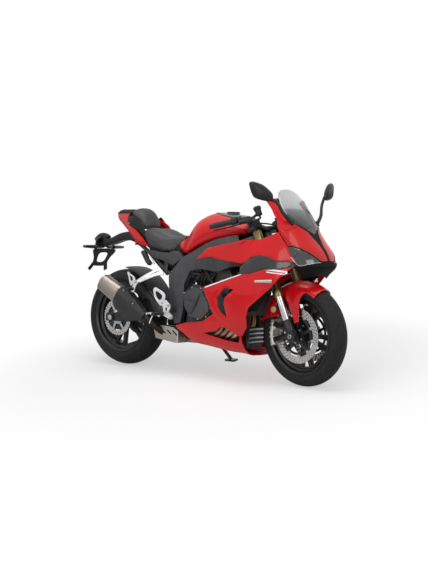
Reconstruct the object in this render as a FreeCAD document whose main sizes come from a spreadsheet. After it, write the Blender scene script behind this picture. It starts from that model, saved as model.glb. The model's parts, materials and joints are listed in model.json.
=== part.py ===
import FreeCAD, Part
import math
import os
import Sketcher
from FreeCAD import Placement, Rotation, Vector

# Sport bike. The bike's own frame has its origin on the ground under the rear axle, with
# +X forward, +Y to the left and +Z up. The last section leans the bike onto its side stand
# and puts the origin under the middle of the whole machine.

doc = FreeCAD.newDocument("SportBike")

# Driving dimensions, in millimetres and degrees: alias, number, meaning.
SIZES = [
    ("wheelbase", 1410, "rear axle to front axle"),
    ("lean_angle", 9, "lean to the left, onto the side stand"),
    ("steer_angle", 8, "handlebars turned to the right as parked"),
    ("steer_lock", 27, "steering each way from straight ahead"),
    ("rake", 24.5, "steering head angle from the vertical"),
    ("fork_offset", 35, "fork legs ahead of the steering axis"),
    ("fork_spread", 206, "between the fork leg centres"),
    ("running_gap", 0.3, "between a shaft and the bore it turns in"),
    ("seat_gap", 0.3, "between pieces that seat on one another"),
    ("front_tyre_radius", 300, "front tyre"),
    ("front_tyre_width", 120, "front tyre"),
    ("rear_tyre_radius", 315, "rear tyre"),
    ("rear_tyre_width", 180, "rear tyre"),
    ("shoulder_radius", 262, "where both tyres are widest"),
    ("carcass", 11, "tyre wall"),
    ("flange_radius", 228, "rim flange"),
    ("bead_radius", 216, "rim bead seat"),
    ("well_radius", 200, "rim well"),
    ("rim_wall", 6, "rim wall"),
    ("flange_width", 9, "rim flange, bead to outside"),
    ("front_bead", 44, "front rim, half of its bead width"),
    ("rear_bead", 70, "rear rim, half of its bead width"),
    ("spoke_half", 11, "half of a spoke's thickness"),
    ("spoke_count", 5, "split spokes on a wheel"),
    ("hub_radius", 34, "wheel hub"),
    ("axle_radius", 12.5, "wheel axle"),
    ("axle_bore", 8, "hollow front axle, half of its bore"),
    ("front_disc_radius", 160, "front brake disc"),
    ("front_disc_place", 62, "front brake disc from the wheel's middle"),
    ("rear_disc_radius", 120, "rear brake disc"),
    ("rear_disc_place", 99, "rear brake disc from the wheel's middle"),
    ("disc_band", 34, "height of a disc's braking band"),
    ("disc_thickness", 5, "brake disc"),
    ("chain_place", 108, "chain line from the bike's middle"),
    ("chain_pitch", 15.875, "chain pitch"),
    ("rear_teeth", 45, "rear sprocket"),
    ("front_teeth", 16, "front sprocket"),
    ("strip_gap", 10, "between a chain's side plates"),
    ("strip_thickness", 3, "chain side plate"),
    ("chain_height", 14, "chain side plate"),
    ("tooth_thickness", 6, "sprocket"),
    ("pivot_forward", 545, "swingarm pivot ahead of the rear axle"),
    ("pivot_height", 395, "swingarm pivot above the ground"),
    ("arm_inside", 125, "swingarm, middle to an arm's inner face"),
    ("arm_thickness", 30, "swingarm arm"),
    ("tube_radius", 27, "fork outer tube"),
    ("stanchion_radius", 21.5, "fork inner tube"),
    ("stem_radius", 15, "steering stem"),
    ("head_radius", 33, "frame's steering head"),
    ("top_yoke_height", 664, "top yoke above the axle, along the fork"),
    ("low_yoke_height", 470, "lower yoke above the axle, along the fork"),
    ("yoke_thickness", 24, "both yokes"),
    ("spar_outside", 165, "frame, middle to a spar's outer face"),
    ("spar_thickness", 34, "frame spar"),
    ("panel_wall", 4, "bodywork panels"),
    ("stand_radius", 11, "side stand leg"),
    ("stand_pin", 7, "side stand pivot pin"),
]

sheet = doc.addObject("Spreadsheet::Sheet", "Dimensions")
for row, (alias, number, meaning) in enumerate(SIZES, 1):
    sheet.set(f"A{row}", meaning)
    sheet.set(f"B{row}", str(number))
    sheet.setAlias(f"B{row}", alias)
doc.recompute()


class Size(float):
    """A number that remembers the spreadsheet formula that gives it."""

    def __new__(cls, number, formula):
        size = float.__new__(cls, number)
        size.formula = formula
        return size

    def joined(self, other, sign, number):
        return Size(number, f"({self.formula} {sign} {formula_of(other)})")

    def __add__(self, other):
        return self.joined(other, "+", float(self) + float(other))

    def __sub__(self, other):
        return self.joined(other, "-", float(self) - float(other))

    def __mul__(self, other):
        return self.joined(other, "*", float(self) * float(other))

    def __truediv__(self, other):
        return self.joined(other, "/", float(self) / float(other))

    def __radd__(self, other):
        return Size(other, formula_of(other)) + self

    def __rsub__(self, other):
        return Size(other, formula_of(other)) - self

    def __rmul__(self, other):
        return Size(other, formula_of(other)) * self

    def __neg__(self):
        return self * -1


def formula_of(number):
    """The text that stands for a number in a formula."""
    if isinstance(number, Size):
        return number.formula
    return f"({float(number):.6f})"


class Dims:
    """Each alias of the spreadsheet, as a Size."""

    def __getattr__(self, alias):
        return Size(float(sheet.get(alias)), f"Dimensions.{alias}")


d = Dims()


def bind(item, prop, size):
    """Set a property, as a formula where the size comes from the spreadsheet."""
    if isinstance(size, Size):
        item.setExpression(prop, size.formula)
    else:
        setattr(item, prop, size)


# Frames: the bike, the fork with its legs upright, and the steered fork.
def turned(axis, angle):
    return Placement(Vector(0, 0, 0), Rotation(axis, angle))


AXIS_X, AXIS_Y, AXIS_Z = Vector(1, 0, 0), Vector(0, 1, 0), Vector(0, 0, 1)
rake = math.radians(d.rake)
fork_foot = Vector(d.wheelbase - d.fork_offset * math.cos(rake), 0,
                   d.front_tyre_radius - d.fork_offset * math.sin(rake))
fork_frame = Placement(fork_foot, Rotation(AXIS_Y, -d.rake))
steered_in_bike = fork_frame * turned(AXIS_Z, -d.steer_angle)


def crown_radius(radius, width):
    """Radius of a tyre's tread arc, from its height above the shoulder and its width."""
    rise = radius - d.shoulder_radius
    half = width / 2
    return (half * half + rise * rise) / (rise * 2)


CROWN_FACETS = 6


def crown_corners(radius, width, inset=0, facets=CROWN_FACETS):
    """Corners (radius, place along the axle) of a tyre's faceted tread, from side to side."""
    crown = crown_radius(radius, width)
    spread = math.asin(width / 2 / crown)
    corners = []
    for k in range(facets + 1):
        angle = spread * (1 - 2 * k / facets)
        corners.append((radius - crown + (crown - inset) * math.cos(angle), (crown - inset) * math.sin(angle)))
    return corners


def lowest(placement, radius, width):
    """Height of a wheel's lowest point."""
    tilt = placement.Rotation.multVec(AXIS_Y).z
    return min(placement.Base.z - float(reach) * math.sqrt(1 - tilt * tilt) + float(along) * tilt
               for reach, along in crown_corners(radius, width))


REAR_HUB = Placement(Vector(0, 0, d.rear_tyre_radius), Rotation())
FRONT_HUB = Placement(Vector(d.fork_offset, 0, 0), Rotation())


def parked_placement():
    """The leaned bike with both tyres on the ground."""
    bike = turned(AXIS_X, -d.lean_angle)
    for step in range(6):
        rear = lowest(bike * REAR_HUB, d.rear_tyre_radius, d.rear_tyre_width)
        front = lowest(bike * steered_in_bike * FRONT_HUB, d.front_tyre_radius, d.front_tyre_width)
        pitch = math.degrees((front - rear) / d.wheelbase)
        bike = Placement(Vector(0, 0, -rear), turned(AXIS_Y, pitch).Rotation) * bike
    return bike


bike = parked_placement()
steered = bike * steered_in_bike
rear_hub = bike * REAR_HUB
front_hub = steered * FRONT_HUB

# The sub-parts: node name, object and body, in the order in which they are made.
nodes = []


def node(name, item, body="chassis", frame=None):
    """Register a finished sub-part and put it in its place."""
    item.Label = name
    if frame is None:
        frame = steered if body == "steering" else bike
    item.Placement = frame
    nodes.append((name, item, body))
    return item


def solid_node(name, shape, body="chassis", frame=None):
    """Register a sub-part whose shape is made by Part's own functions."""
    item = doc.addObject("Part::Feature", name)
    item.Shape = shape
    return node(name, item, body, frame)


# PartDesign helpers
def new_body(name):
    return doc.addObject("PartDesign::Body", name)


def origin_item(body, role):
    return next(item for item in body.Origin.OriginFeatures if item.Role == role)


def arc_edge(start, end, radius):
    """Arc from start to end; a positive radius turns to the left."""
    middle = (start + end) * 0.5
    chord = end - start
    side = Vector(-chord.y, chord.x, 0)
    side.normalize()
    reach = math.sqrt(max(radius * radius - chord.Length ** 2 / 4, 0))
    centre = middle + side * (reach if radius > 0 else -reach)
    first, last = (start, end) if radius > 0 else (end, start)
    angles = [math.atan2(p.y - centre.y, p.x - centre.x) for p in (first, last)]
    if angles[1] <= angles[0]:
        angles[1] += 2 * math.pi
    return Part.ArcOfCircle(Part.Circle(centre, AXIS_Z, abs(radius)), *angles)


def draw_loop(sketch, corners):
    """Closed outline; a corner is (x, y) or (x, y, radius of the arc to the next corner)."""
    count = len(corners)
    points = [Vector(float(c[0]), float(c[1]), 0) for c in corners]
    ends = []
    for i, corner in enumerate(corners):
        start, end = points[i], points[(i + 1) % count]
        if len(corner) == 3:
            item = sketch.addGeometry(arc_edge(start, end, float(corner[2])), False)
            ends.append((item, (1, 2) if corner[2] > 0 else (2, 1)))
        else:
            ends.append((sketch.addGeometry(Part.LineSegment(start, end), False), (1, 2)))
    for i in range(count):
        item, (first, last) = ends[i]
        after, (after_first, after_last) = ends[(i + 1) % count]
        sketch.addConstraint(Sketcher.Constraint("Coincident", item, last, after, after_first))
        for kind, size in (("DistanceX", corners[i][0]), ("DistanceY", corners[i][1])):
            number = sketch.addConstraint(
                Sketcher.Constraint(kind, -1, 1, item, first, float(size)))
            if isinstance(size, Size):
                sketch.setExpression(f"Constraints[{number}]", size.formula)
        if len(corners[i]) == 3:
            radius = corners[i][2] if corners[i][2] > 0 else -corners[i][2]
            number = sketch.addConstraint(Sketcher.Constraint("Radius", item, float(radius)))
            if isinstance(radius, Size):
                sketch.setExpression(f"Constraints[{number}]", radius.formula)


def draw_circle(sketch, x, y, radius):
    """Circle with its centre and radius bound."""
    item = sketch.addGeometry(Part.Circle(Vector(float(x), float(y), 0), AXIS_Z, float(radius)), False)
    wanted = [(Sketcher.Constraint("DistanceX", -1, 1, item, 3, float(x)), x),
              (Sketcher.Constraint("DistanceY", -1, 1, item, 3, float(y)), y),
              (Sketcher.Constraint("Radius", item, float(radius)), radius)]
    for constraint, size in wanted:
        number = sketch.addConstraint(constraint)
        if isinstance(size, Size):
            sketch.setExpression(f"Constraints[{number}]", size.formula)


def new_sketch(body, role, loops=(), circles=(), lift=0):
    """Sketch on one of the body's origin planes, moved along the plane's normal by lift."""
    sketch = body.newObject("Sketcher::SketchObject", body.Name + "_sketch")
    sketch.AttachmentSupport = [(origin_item(body, role), "")]
    sketch.MapMode = "FlatFace"
    sketch.AttachmentOffset = Placement(Vector(0, 0, float(lift)), Rotation())
    if isinstance(lift, Size):
        sketch.setExpression("AttachmentOffset.Base.z", lift.formula)
    for loop in loops:
        draw_loop(sketch, loop)
    for x, y, radius in circles:
        draw_circle(sketch, x, y, radius)
    return sketch


def extrude(body, kind, sketch, length):
    """Pad or Pocket, the same distance to both sides of its sketch."""
    feature = body.newObject(f"PartDesign::{kind}", f"{body.Name}_{kind}")
    feature.Profile = sketch
    feature.SideType = "Symmetric"
    bind(feature, "Length", length)
    return feature


def pad(body, role, length, loops=(), circles=(), lift=0):
    return extrude(body, "Pad", new_sketch(body, role, loops, circles, lift), length)


def pocket(body, role, length, loops=(), circles=(), lift=0):
    return extrude(body, "Pocket", new_sketch(body, role, loops, circles, lift), length)


def turn(body, corners, kind="Revolution"):
    """Profile (radius, place along the axle) turned about the body's own Y axis."""
    sketch = new_sketch(body, "XY_Plane", [corners])
    feature = body.newObject(f"PartDesign::{kind}", f"{body.Name}_{kind}")
    feature.Profile = sketch
    feature.ReferenceAxis = (sketch, ["V_Axis"])
    feature.Angle = 360
    return feature


def upright(body, corners, x=0, y=0):
    """Profile (radius, height) turned about an upright axis through x, y."""
    shifted = [(corner[0] + x, *corner[1:]) for corner in corners]
    sketch = new_sketch(body, "XZ_Plane", [shifted], lift=-y)
    line = sketch.addGeometry(Part.LineSegment(Vector(float(x), 0, 0), Vector(float(x), 10, 0)), True)
    sketch.addConstraint(Sketcher.Constraint("Block", line))
    feature = body.newObject("PartDesign::Revolution", f"{body.Name}_Revolution")
    feature.Profile = sketch
    feature.ReferenceAxis = (sketch, ["Axis0"])
    feature.Angle = 360
    return feature


def around(body, feature, count):
    """Repeat a feature about the body's own Y axis."""
    doc.recompute()
    pattern = body.newObject("PartDesign::PolarPattern", f"{body.Name}_pattern")
    pattern.Originals = [feature]
    pattern.Axis = (origin_item(body, "Y_Axis"), [""])
    pattern.Angle = 360
    bind(pattern, "Occurrences", count if isinstance(count, Size) else int(count))
    body.Tip = pattern
    return pattern


def compound_of(name, items):
    """Solids of several objects that share a node and don't touch."""
    group = doc.addObject("Part::Compound", name)
    group.Links = items
    return group


def mirrored_copy(item):
    """The same piece on the other side of the middle plane."""
    copy = doc.addObject("Part::Mirroring", item.Name + "_mirrored")
    copy.Source = item
    copy.Normal = AXIS_Y
    return copy


def mirrored_node(name, item, body="chassis", frame=None, others=()):
    """Register a piece, its mirror image and other pieces of the same node."""
    return node(name, compound_of(name, [item, mirrored_copy(item), *others]), body, frame)


# Helpers for free-form solids
def both_sides(shape):
    """A shape and its mirror image, as one compound of two solids."""
    return Part.makeCompound([shape, shape.mirror(Vector(0, 0, 0), AXIS_Y)])


def smooth_wire(points):
    curve = Part.BSplineCurve()
    curve.interpolate([Vector(*p) for p in points], PeriodicFlag=True)
    return Part.Wire([curve.toShape()])


def polygon(points):
    return Part.makePolygon([Vector(*p) for p in points] + [Vector(*points[0])])


def side_prism(outline, low, high):
    """Outline (x, z) in side view, from y low to y high."""
    face = Part.Face(polygon([(x, low, z) for x, z in outline]))
    return face.extrude(Vector(0, high - low, 0))


def half_section(x, half):
    """Closed smooth section at one x from its right half (y, z), top to bottom."""
    left = [(x, -y, z) for y, z in reversed(half) if y > 0]
    return smooth_wire([(x, y, z) for y, z in half] + left)


def loft_sections(sections):
    return Part.makeLoft([half_section(x, half) for x, half in sections], True, False)


def sheet_solid(rows, wall, inward):
    """Closed wall between a surface through rows of points and the same surface moved inward."""
    outer = Part.BSplineSurface()
    outer.interpolate([[Vector(*p) for p in line] for line in rows])
    inner = Part.BSplineSurface()
    inner.interpolate([[Vector(*p) + inward(Vector(*p)) * wall for p in line] for line in rows])
    sides = []
    for surface_iso in ("uIso", "vIso"):
        bounds = outer.bounds()[:2] if surface_iso == "uIso" else outer.bounds()[2:]
        for at in bounds:
            edges = [getattr(surface, surface_iso)(at).toShape() for surface in (outer, inner)]
            sides.append(Part.makeRuledSurface(*edges))
    shell = Part.makeCompound([outer.toShape(), inner.toShape()] + sides)
    shell.sewShape()
    solid = Part.Solid(shell.Shells[0])
    if solid.Volume < 0:
        solid.reverse()
    return solid


def tube_path(points, radius):
    """Straight runs joined by balls, as one tube."""
    runs = [Part.makeCylinder(radius, (b - a).Length, a, b - a) for a, b in zip(points, points[1:])]
    balls = [Part.makeSphere(radius, p) for p in points[1:-1]]
    return runs[0].multiFuse(runs[1:] + balls) if balls else runs[0]


# Wheels
def tyre(name, radius, width, bead, body, hub):
    """Road tyre: faceted crown, side walls and beads on the rim's seats."""
    item = new_body(name)
    seat = d.bead_radius + d.seat_gap
    edge = bead - d.seat_gap
    wall = d.carcass
    inside = crown_corners(radius, width, wall, 2)
    turn(item, crown_corners(radius, width)
         + [(d.flange_radius + 4, -edge), (seat, -edge), (seat, -edge + wall)]
         + inside[::-1] + [(seat, edge - wall), (seat, edge), (d.flange_radius + 4, edge)])
    return node(name, item, body, hub)


tyre("front_tyre", d.front_tyre_radius, d.front_tyre_width, d.front_bead, "front_wheel", front_hub)
tyre("rear_tyre", d.rear_tyre_radius, d.rear_tyre_width, d.rear_bead, "rear_wheel", rear_hub)


def rim(name, bead, hub_half, body, hub):
    """Cast rim: hub, web and barrel turned, then the gaps between the split spokes cut."""
    item = new_body(name)
    outside = bead + d.flange_width
    web = d.spoke_half
    wall = d.rim_wall
    bore = d.axle_radius + d.running_gap
    ledge = bead - 20
    half = [(bore, hub_half), (d.hub_radius, hub_half), (d.hub_radius, web),
            (d.well_radius - wall, web), (d.well_radius - wall, ledge - wall),
            (d.bead_radius - wall, ledge), (d.bead_radius - wall, bead),
            (d.flange_radius - wall, outside), (d.flange_radius, outside),
            (d.flange_radius, bead), (d.bead_radius, bead), (d.bead_radius, ledge),
            (d.well_radius, ledge - wall)]
    turn(item, half + [(x, -y) for x, y in reversed(half)])
    inner, outer = d.hub_radius + 12, d.well_radius - wall - 8
    step = 360 / float(d.spoke_count)
    for gap_low, gap_high, centre in ((11, 21, 0), (1.5, 7, step / 2)):
        near = inner if centre == 0 else inner + 42
        corners = [turned_corner(near, centre - gap_low), turned_corner(outer, centre - gap_high),
                   turned_corner(outer, centre + gap_high), turned_corner(near, centre + gap_low)]
        cut = pocket(item, "XZ_Plane", web * 4, [corners])
        around(item, cut, d.spoke_count)
    return node(name, item, body, hub)


def turned_corner(radius, angle):
    """Point at a radius and an angle from the x axis, as a corner."""
    return (radius * math.cos(math.radians(angle)), radius * math.sin(math.radians(angle)))


FRONT_HUB_HALF = d.front_disc_place - d.disc_thickness / 2 - 4
REAR_HUB_HALF = d.rear_disc_place - d.disc_thickness / 2 - 4
rim("front_rim", d.front_bead, FRONT_HUB_HALF, "front_wheel", front_hub)
rim("rear_rim", d.rear_bead, REAR_HUB_HALF, "rear_wheel", rear_hub)


def brake_disc(name, radius, place, hub_half, body, hub, pair):
    """Braking band on a windowed carrier that is bolted to the hub."""
    item = new_body(name + "_right" if pair else name)
    pad(item, "XZ_Plane", d.disc_thickness, circles=[(0, 0, radius), (0, 0, radius - d.disc_band)],
               lift=place)
    carrier_thickness = 2 * (place - hub_half) - 2 * d.seat_gap
    pad(item, "XZ_Plane", carrier_thickness,
        circles=[(0, 0, radius - d.disc_band + 2), (0, 0, d.axle_radius + 6)], lift=place)
    low, high = d.hub_radius + 8, radius - d.disc_band - 10
    corners = [turned_corner(low, -14), turned_corner(high, -22), turned_corner(high, 22),
               turned_corner(low, 14)]
    window = pocket(item, "XZ_Plane", carrier_thickness * 2, [corners], lift=place)
    around(item, window, 6)
    if pair:
        return mirrored_node(name, item, body, hub)
    return node(name, item, body, hub)


brake_disc("front_discs", d.front_disc_radius, d.front_disc_place, FRONT_HUB_HALF,
           "front_wheel", front_hub, True)
brake_disc("rear_disc", d.rear_disc_radius, d.rear_disc_place, REAR_HUB_HALF,
           "rear_wheel", rear_hub, False)


def sprocket():
    """Rear sprocket: toothed ring on a carrier that is bolted to the hub's left end."""
    item = new_body("rear_sprocket")
    pitch_radius = d.chain_pitch / 2 / math.sin(math.pi / d.rear_teeth)
    tip = pitch_radius + 4
    pad(item, "XZ_Plane", d.tooth_thickness, circles=[(0, 0, tip), (0, 0, d.axle_radius + 6)],
        lift=-d.chain_place)
    boss_half = (d.chain_place - REAR_HUB_HALF) / 2 - d.seat_gap
    pad(item, "XZ_Plane", boss_half * 2, circles=[(0, 0, d.hub_radius + 22), (0, 0, d.axle_radius + 6)],
        lift=-(d.chain_place - boss_half))
    step = 360 / float(d.rear_teeth)
    notch = [turned_corner(tip + 2, -step * 0.36), turned_corner(pitch_radius - 5, -step * 0.16),
             turned_corner(pitch_radius - 5, step * 0.16), turned_corner(tip + 2, step * 0.36)]
    around(item, pocket(item, "XZ_Plane", d.tooth_thickness * 2, [notch], lift=-d.chain_place),
           d.rear_teeth)
    window = [turned_corner(66, -13), turned_corner(92, -19), turned_corner(92, 19), turned_corner(66, 13)]
    around(item, pocket(item, "XZ_Plane", d.tooth_thickness * 2, [window], lift=-d.chain_place), 6)
    return node("rear_sprocket", item, "rear_wheel", rear_hub)


sprocket()


# Steering: every piece here is in the fork's frame, with its legs upright and the axle level.
FORK_SIDE = d.fork_spread / 2
CALIPER_PLACE = d.front_disc_place + 5
CALIPER_WIDTH = 46


def fork_legs():
    """Outer tubes, inner tubes and feet of the upside-down fork."""
    tube = new_body("outer_tube_right")
    tube_low, tube_high = 238, d.top_yoke_height + 52
    bore = d.stanchion_radius + d.seat_gap
    upright(tube, [(bore, tube_low), (d.tube_radius + 2, tube_low), (d.tube_radius + 2, tube_low + 54),
                   (d.tube_radius, tube_low + 58), (d.tube_radius, tube_high - 6), (20, tube_high),
                   (0, tube_high), (0, tube_high - 12), (bore, tube_high - 12)],
            d.fork_offset, -FORK_SIDE)
    mirrored_node("fork_tubes", tube, "steering")
    stanchion = new_body("stanchion_right")
    upright(stanchion, [(0, 62), (d.stanchion_radius, 62), (d.stanchion_radius, tube_high - 14),
                        (0, tube_high - 14)], d.fork_offset, -FORK_SIDE)
    mirrored_node("fork_stanchions", stanchion, "steering")
    foot = new_body("foot_right")
    top = 96
    upright(foot, [(d.stanchion_radius + d.seat_gap, 62), (d.stanchion_radius + d.seat_gap, top),
                   (d.tube_radius + 1, top), (d.tube_radius + 1, 40), (22, 16), (0, 16),
                   (0, 61.7), (d.stanchion_radius, 61.7)], d.fork_offset, -FORK_SIDE)
    ahead = d.fork_offset
    clamp = [(ahead - 24, -30), (ahead + 18, -36), (ahead + 30, -20), (ahead + 26, 30),
             (ahead - 24, 40)]
    pad(foot, "XZ_Plane", 36, [clamp], lift=FORK_SIDE)
    inner_face = CALIPER_PLACE + CALIPER_WIDTH / 2 + d.seat_gap
    lug_width = 20
    for lug in ([(ahead - 14, 62), (ahead - 92, 122), (ahead - 110, 104), (ahead - 14, 32)],
                [(ahead - 14, 30), (ahead - 136, 42), (ahead - 140, 16), (ahead - 14, -6)]):
        pad(foot, "XZ_Plane", lug_width, [lug], lift=inner_face + lug_width / 2)
    pocket(foot, "XZ_Plane", 80, circles=[(ahead, 0, d.axle_radius + d.seat_gap)], lift=FORK_SIDE)
    pocket(foot, "XY_Plane", 80, circles=[(ahead, -FORK_SIDE, d.stanchion_radius + d.seat_gap)],
           lift=62 + 40)
    mirrored_node("fork_feet", foot, "steering")


def yokes():
    """Upper and lower yoke with the stem between them."""
    top = new_body("top_yoke")
    plate = [(-34, -28), (d.fork_offset - 36, -FORK_SIDE - 34), (d.fork_offset + 30, -FORK_SIDE - 38),
             (d.fork_offset + 38, -FORK_SIDE + 10), (44, -20), (44, 20),
             (d.fork_offset + 38, FORK_SIDE - 10), (d.fork_offset + 30, FORK_SIDE + 38),
             (d.fork_offset - 36, FORK_SIDE + 34), (-34, 28)]
    bores = [(d.fork_offset, FORK_SIDE, d.tube_radius + d.seat_gap),
             (d.fork_offset, -FORK_SIDE, d.tube_radius + d.seat_gap)]
    pad(top, "XY_Plane", d.yoke_thickness, [plate], lift=d.top_yoke_height)
    pocket(top, "XY_Plane", 80, circles=bores, lift=d.top_yoke_height)
    pad(top, "XY_Plane", d.yoke_thickness * 1.5, [plate], lift=d.low_yoke_height)
    pocket(top, "XY_Plane", 80, circles=bores, lift=d.low_yoke_height)
    stem_middle = (d.top_yoke_height + d.low_yoke_height) / 2
    stem_length = d.top_yoke_height - d.low_yoke_height + d.yoke_thickness * 2
    pad(top, "XY_Plane", stem_length, circles=[(0, 0, d.stem_radius)], lift=stem_middle)
    pocket(top, "XY_Plane", stem_length * 3, circles=[(0, 0, d.stem_radius - 6)], lift=stem_middle)
    return node("yokes", top, "steering")


def front_axle():
    """Hollow axle through both fork feet and the wheel."""
    item = new_body("front_axle")
    reach = FORK_SIDE + 24
    seat = FORK_SIDE + 18 + d.seat_gap
    turn(item, [(d.axle_bore, -reach), (d.axle_radius, -reach), (d.axle_radius, seat),
                (15.5, seat), (15.5, reach), (d.axle_bore, reach)])
    return node("front_axle", item, "steering", front_hub)


def front_calipers():
    """Four-piston caliper over each front disc, bolted behind the fork foot."""
    item = new_body("caliper_right")
    low, high = d.front_disc_radius - 26, d.front_disc_radius + 18
    body = [turned_corner(low, 130), turned_corner(low - 4, 152), turned_corner(low, 174),
            turned_corner(high - 6, 176), turned_corner(high + 4, 152), turned_corner(high - 6, 128)]
    shape = [(x + d.fork_offset, z) for x, z in body]
    pad(item, "XZ_Plane", CALIPER_WIDTH, [shape], lift=CALIPER_PLACE)
    pocket(item, "XZ_Plane", d.disc_thickness + 11,
           circles=[(d.fork_offset, 0, d.front_disc_radius + 6)], lift=d.front_disc_place)
    return mirrored_node("front_calipers", item, "steering")


def handlebars():
    """Clip-on clamps, bars and grips."""
    parts = []
    inner = Vector(8, -232, 728)
    outer = Vector(-72, -346, 735)
    along = (outer - inner)
    along.normalize()
    fork_top = Vector(d.fork_offset, -FORK_SIDE, d.top_yoke_height + 14)
    clamp = Part.makeCylinder(d.tube_radius + 10, 30, fork_top)
    tube = Part.makeCylinder(d.tube_radius + d.seat_gap, 120, fork_top - AXIS_Z * 30)
    elbow = inner - along * 100
    parts.append(tube_path([Vector(d.fork_offset, -FORK_SIDE - 36, fork_top.z + 15), elbow], 12))
    for at, radius, length in ((elbow, 11, 100 + (outer - inner).Length),
                               (inner - along * 4, 20, 5), (inner, 16.5, (outer - inner).Length - 18)):
        parts.append(Part.makeCylinder(radius, length, at, along))
    parts.append(Part.makeCone(16, 13, 20, outer - along * 14, along))
    shape = clamp.multiFuse(parts).cut(tube)
    return solid_node("handlebars", both_sides(shape), "steering")


def hand_controls():
    """Switch housings, levers and the front brake reservoir."""
    inner = Vector(8, -232, 728)
    along = Vector(-80, -114, 7)
    along.normalize()
    ahead = Vector(0.82, -0.56, -0.1)
    ahead.normalize()
    at = inner - along * 34
    housing = Part.makeCylinder(21, 28, at, along).cut(Part.makeCylinder(11 + d.seat_gap, 60, at - along * 9, along))
    pivot = at + ahead * 34
    block = Part.makeBox(30, 26, 18, pivot - Vector(15, 13, 9))
    points = [pivot + ahead * 4, pivot + ahead * 26 + along * 40, pivot + ahead * 34 + along * 100,
              pivot + ahead * 30 + along * 168]
    lever = block
    for a, b in zip(points, points[1:]):
        lever = lever.fuse(Part.makeCylinder(6, (b - a).Length, a, b - a)).fuse(Part.makeSphere(6, b))
    control = housing.fuse(lever)
    reservoir = Part.makeCylinder(26, 46, pivot + Vector(26, 18, 10)).fuse(
        Part.makeCylinder(9, 20, pivot + Vector(26, 18, -6)))
    stalk = Part.makeBox(34, 14, 8, pivot + Vector(0, 6, -5))
    right = control.fuse(stalk).fuse(reservoir)
    left = control.mirror(Vector(0, 0, 0), AXIS_Y)
    return solid_node("hand_controls", Part.makeCompound([right, left]), "steering")


fork_legs()
yokes()
front_axle()
front_calipers()
handlebars()
hand_controls()


# Side plates of the mudguard on the right, ahead of the fork leg and behind it: rows of (x, y, height).
MUDGUARD_PLATES = (
    [[(212, -68.8, 193), (158, -68.8, 232), (98, -68.8, 255), (40, -68.8, 263)],
     [(160, -71, 180), (118, -73, 192), (84, -74, 196), (60, -75, 200)],
     [(128, -76, 128), (106, -78, 130), (84, -79, 132), (68, -80, 134)],
     [(104, -84, 62), (92, -86, 62), (80, -88, 62), (70, -89, 62)]],
    [[(32, -68.8, 263), (-40, -68.8, 252), (-95, -68.8, 228), (-146, -68.8, 191)],
     [(6, -82, 212), (-50, -84, 208), (-104, -82, 192), (-160, -80, 174)],
     [(-14, -96, 136), (-62, -97, 156), (-116, -96, 162), (-176, -88, 164)]],
)


def front_mudguard():
    """Crowned shell over the front tyre, with side plates that reach down beside the fork."""
    clear = 7
    crown = crown_radius(d.front_tyre_radius, d.front_tyre_width)
    middle = d.front_tyre_radius - crown
    rows = []
    for step in range(13):
        angle = math.radians(34 + 108 * step / 12)
        line = []
        for side in range(-4, 5):
            turn_angle = math.radians(17.5 * side)
            radius = middle + (crown + clear) * math.cos(turn_angle)
            line.append((d.fork_offset + radius * math.cos(angle), (crown + clear) * math.sin(turn_angle),
                         radius * math.sin(angle)))
        rows.append(line)
    axle = Vector(d.fork_offset, 0, 0)

    def outward(point):
        ring = Vector(point.x - axle.x, 0, point.z)
        ring.normalize()
        centre = axle + ring * middle
        direction = point - centre
        direction.normalize()
        return direction

    pieces = []
    for rows_of_plate in MUDGUARD_PLATES:
        pieces.append(sheet_solid(rows_of_plate, 3, lambda point: -AXIS_Y))
    seat = -FORK_SIDE + d.tube_radius + 2 + d.seat_gap
    pieces.append(Part.makeCylinder(9, 7, Vector(d.fork_offset, seat, 250), AXIS_Y))
    pieces += [piece.mirror(Vector(0, 0, 0), AXIS_Y) for piece in pieces]
    return solid_node("front_mudguard", sheet_solid(rows, 3, outward).multiFuse(pieces), "steering")


front_mudguard()


# Frame and engine, in the bike's frame
def prism(outline, y_low, y_high):
    return side_prism([(float(x), float(z)) for x, z in outline], float(y_low), float(y_high))


STEER_AXIS = Vector(-math.sin(rake), 0, math.cos(rake))
PIVOT = Vector(d.pivot_forward, 0, d.pivot_height)
FRONT_SPROCKET = Vector(648, 0, 405)
RAIL_SIDE, RAIL_END, RAIL_RADIUS = 112, 96, 13
ENGINE_HALF = 140
RADIATOR_HALF = 150
PIVOT_HALF = 108
STAND_PIVOT = Vector(556, 152, 262)
STAND_FOOT_AHEAD, STAND_FOOT_OUT = 62, 140


def stand_frame():
    """Side stand's own frame: origin on its pin, X down the leg, Z along the pin."""
    pivot = bike.multVec(STAND_PIVOT)
    sole = Vector(pivot.x + STAND_FOOT_AHEAD, pivot.y + STAND_FOOT_OUT, 0)
    leg = bike.inverse().multVec(sole) - STAND_PIVOT
    leg.normalize()
    folded = Vector(-1, 0.14, 0.1)
    pin = leg.cross(folded)
    pin.normalize()
    return Placement(STAND_PIVOT, Rotation(leg, pin.cross(leg), pin, "XZY")), sole


STAND_EYE = 14


def stand_bracket():
    """Lug under the frame's left pivot plate, with the pin that carries the side stand."""
    place, sole = stand_frame()
    inner = -STAND_EYE / 2 - d.seat_gap
    plate = Part.makeBox(92, 34, 10, Vector(-80, -17, inner - 10))
    pin = Part.makeCylinder(d.stand_pin, STAND_EYE + 14, Vector(0, 0, inner - 8))
    shape = plate.fuse(pin)
    shape.Placement = place
    return shape


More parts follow.
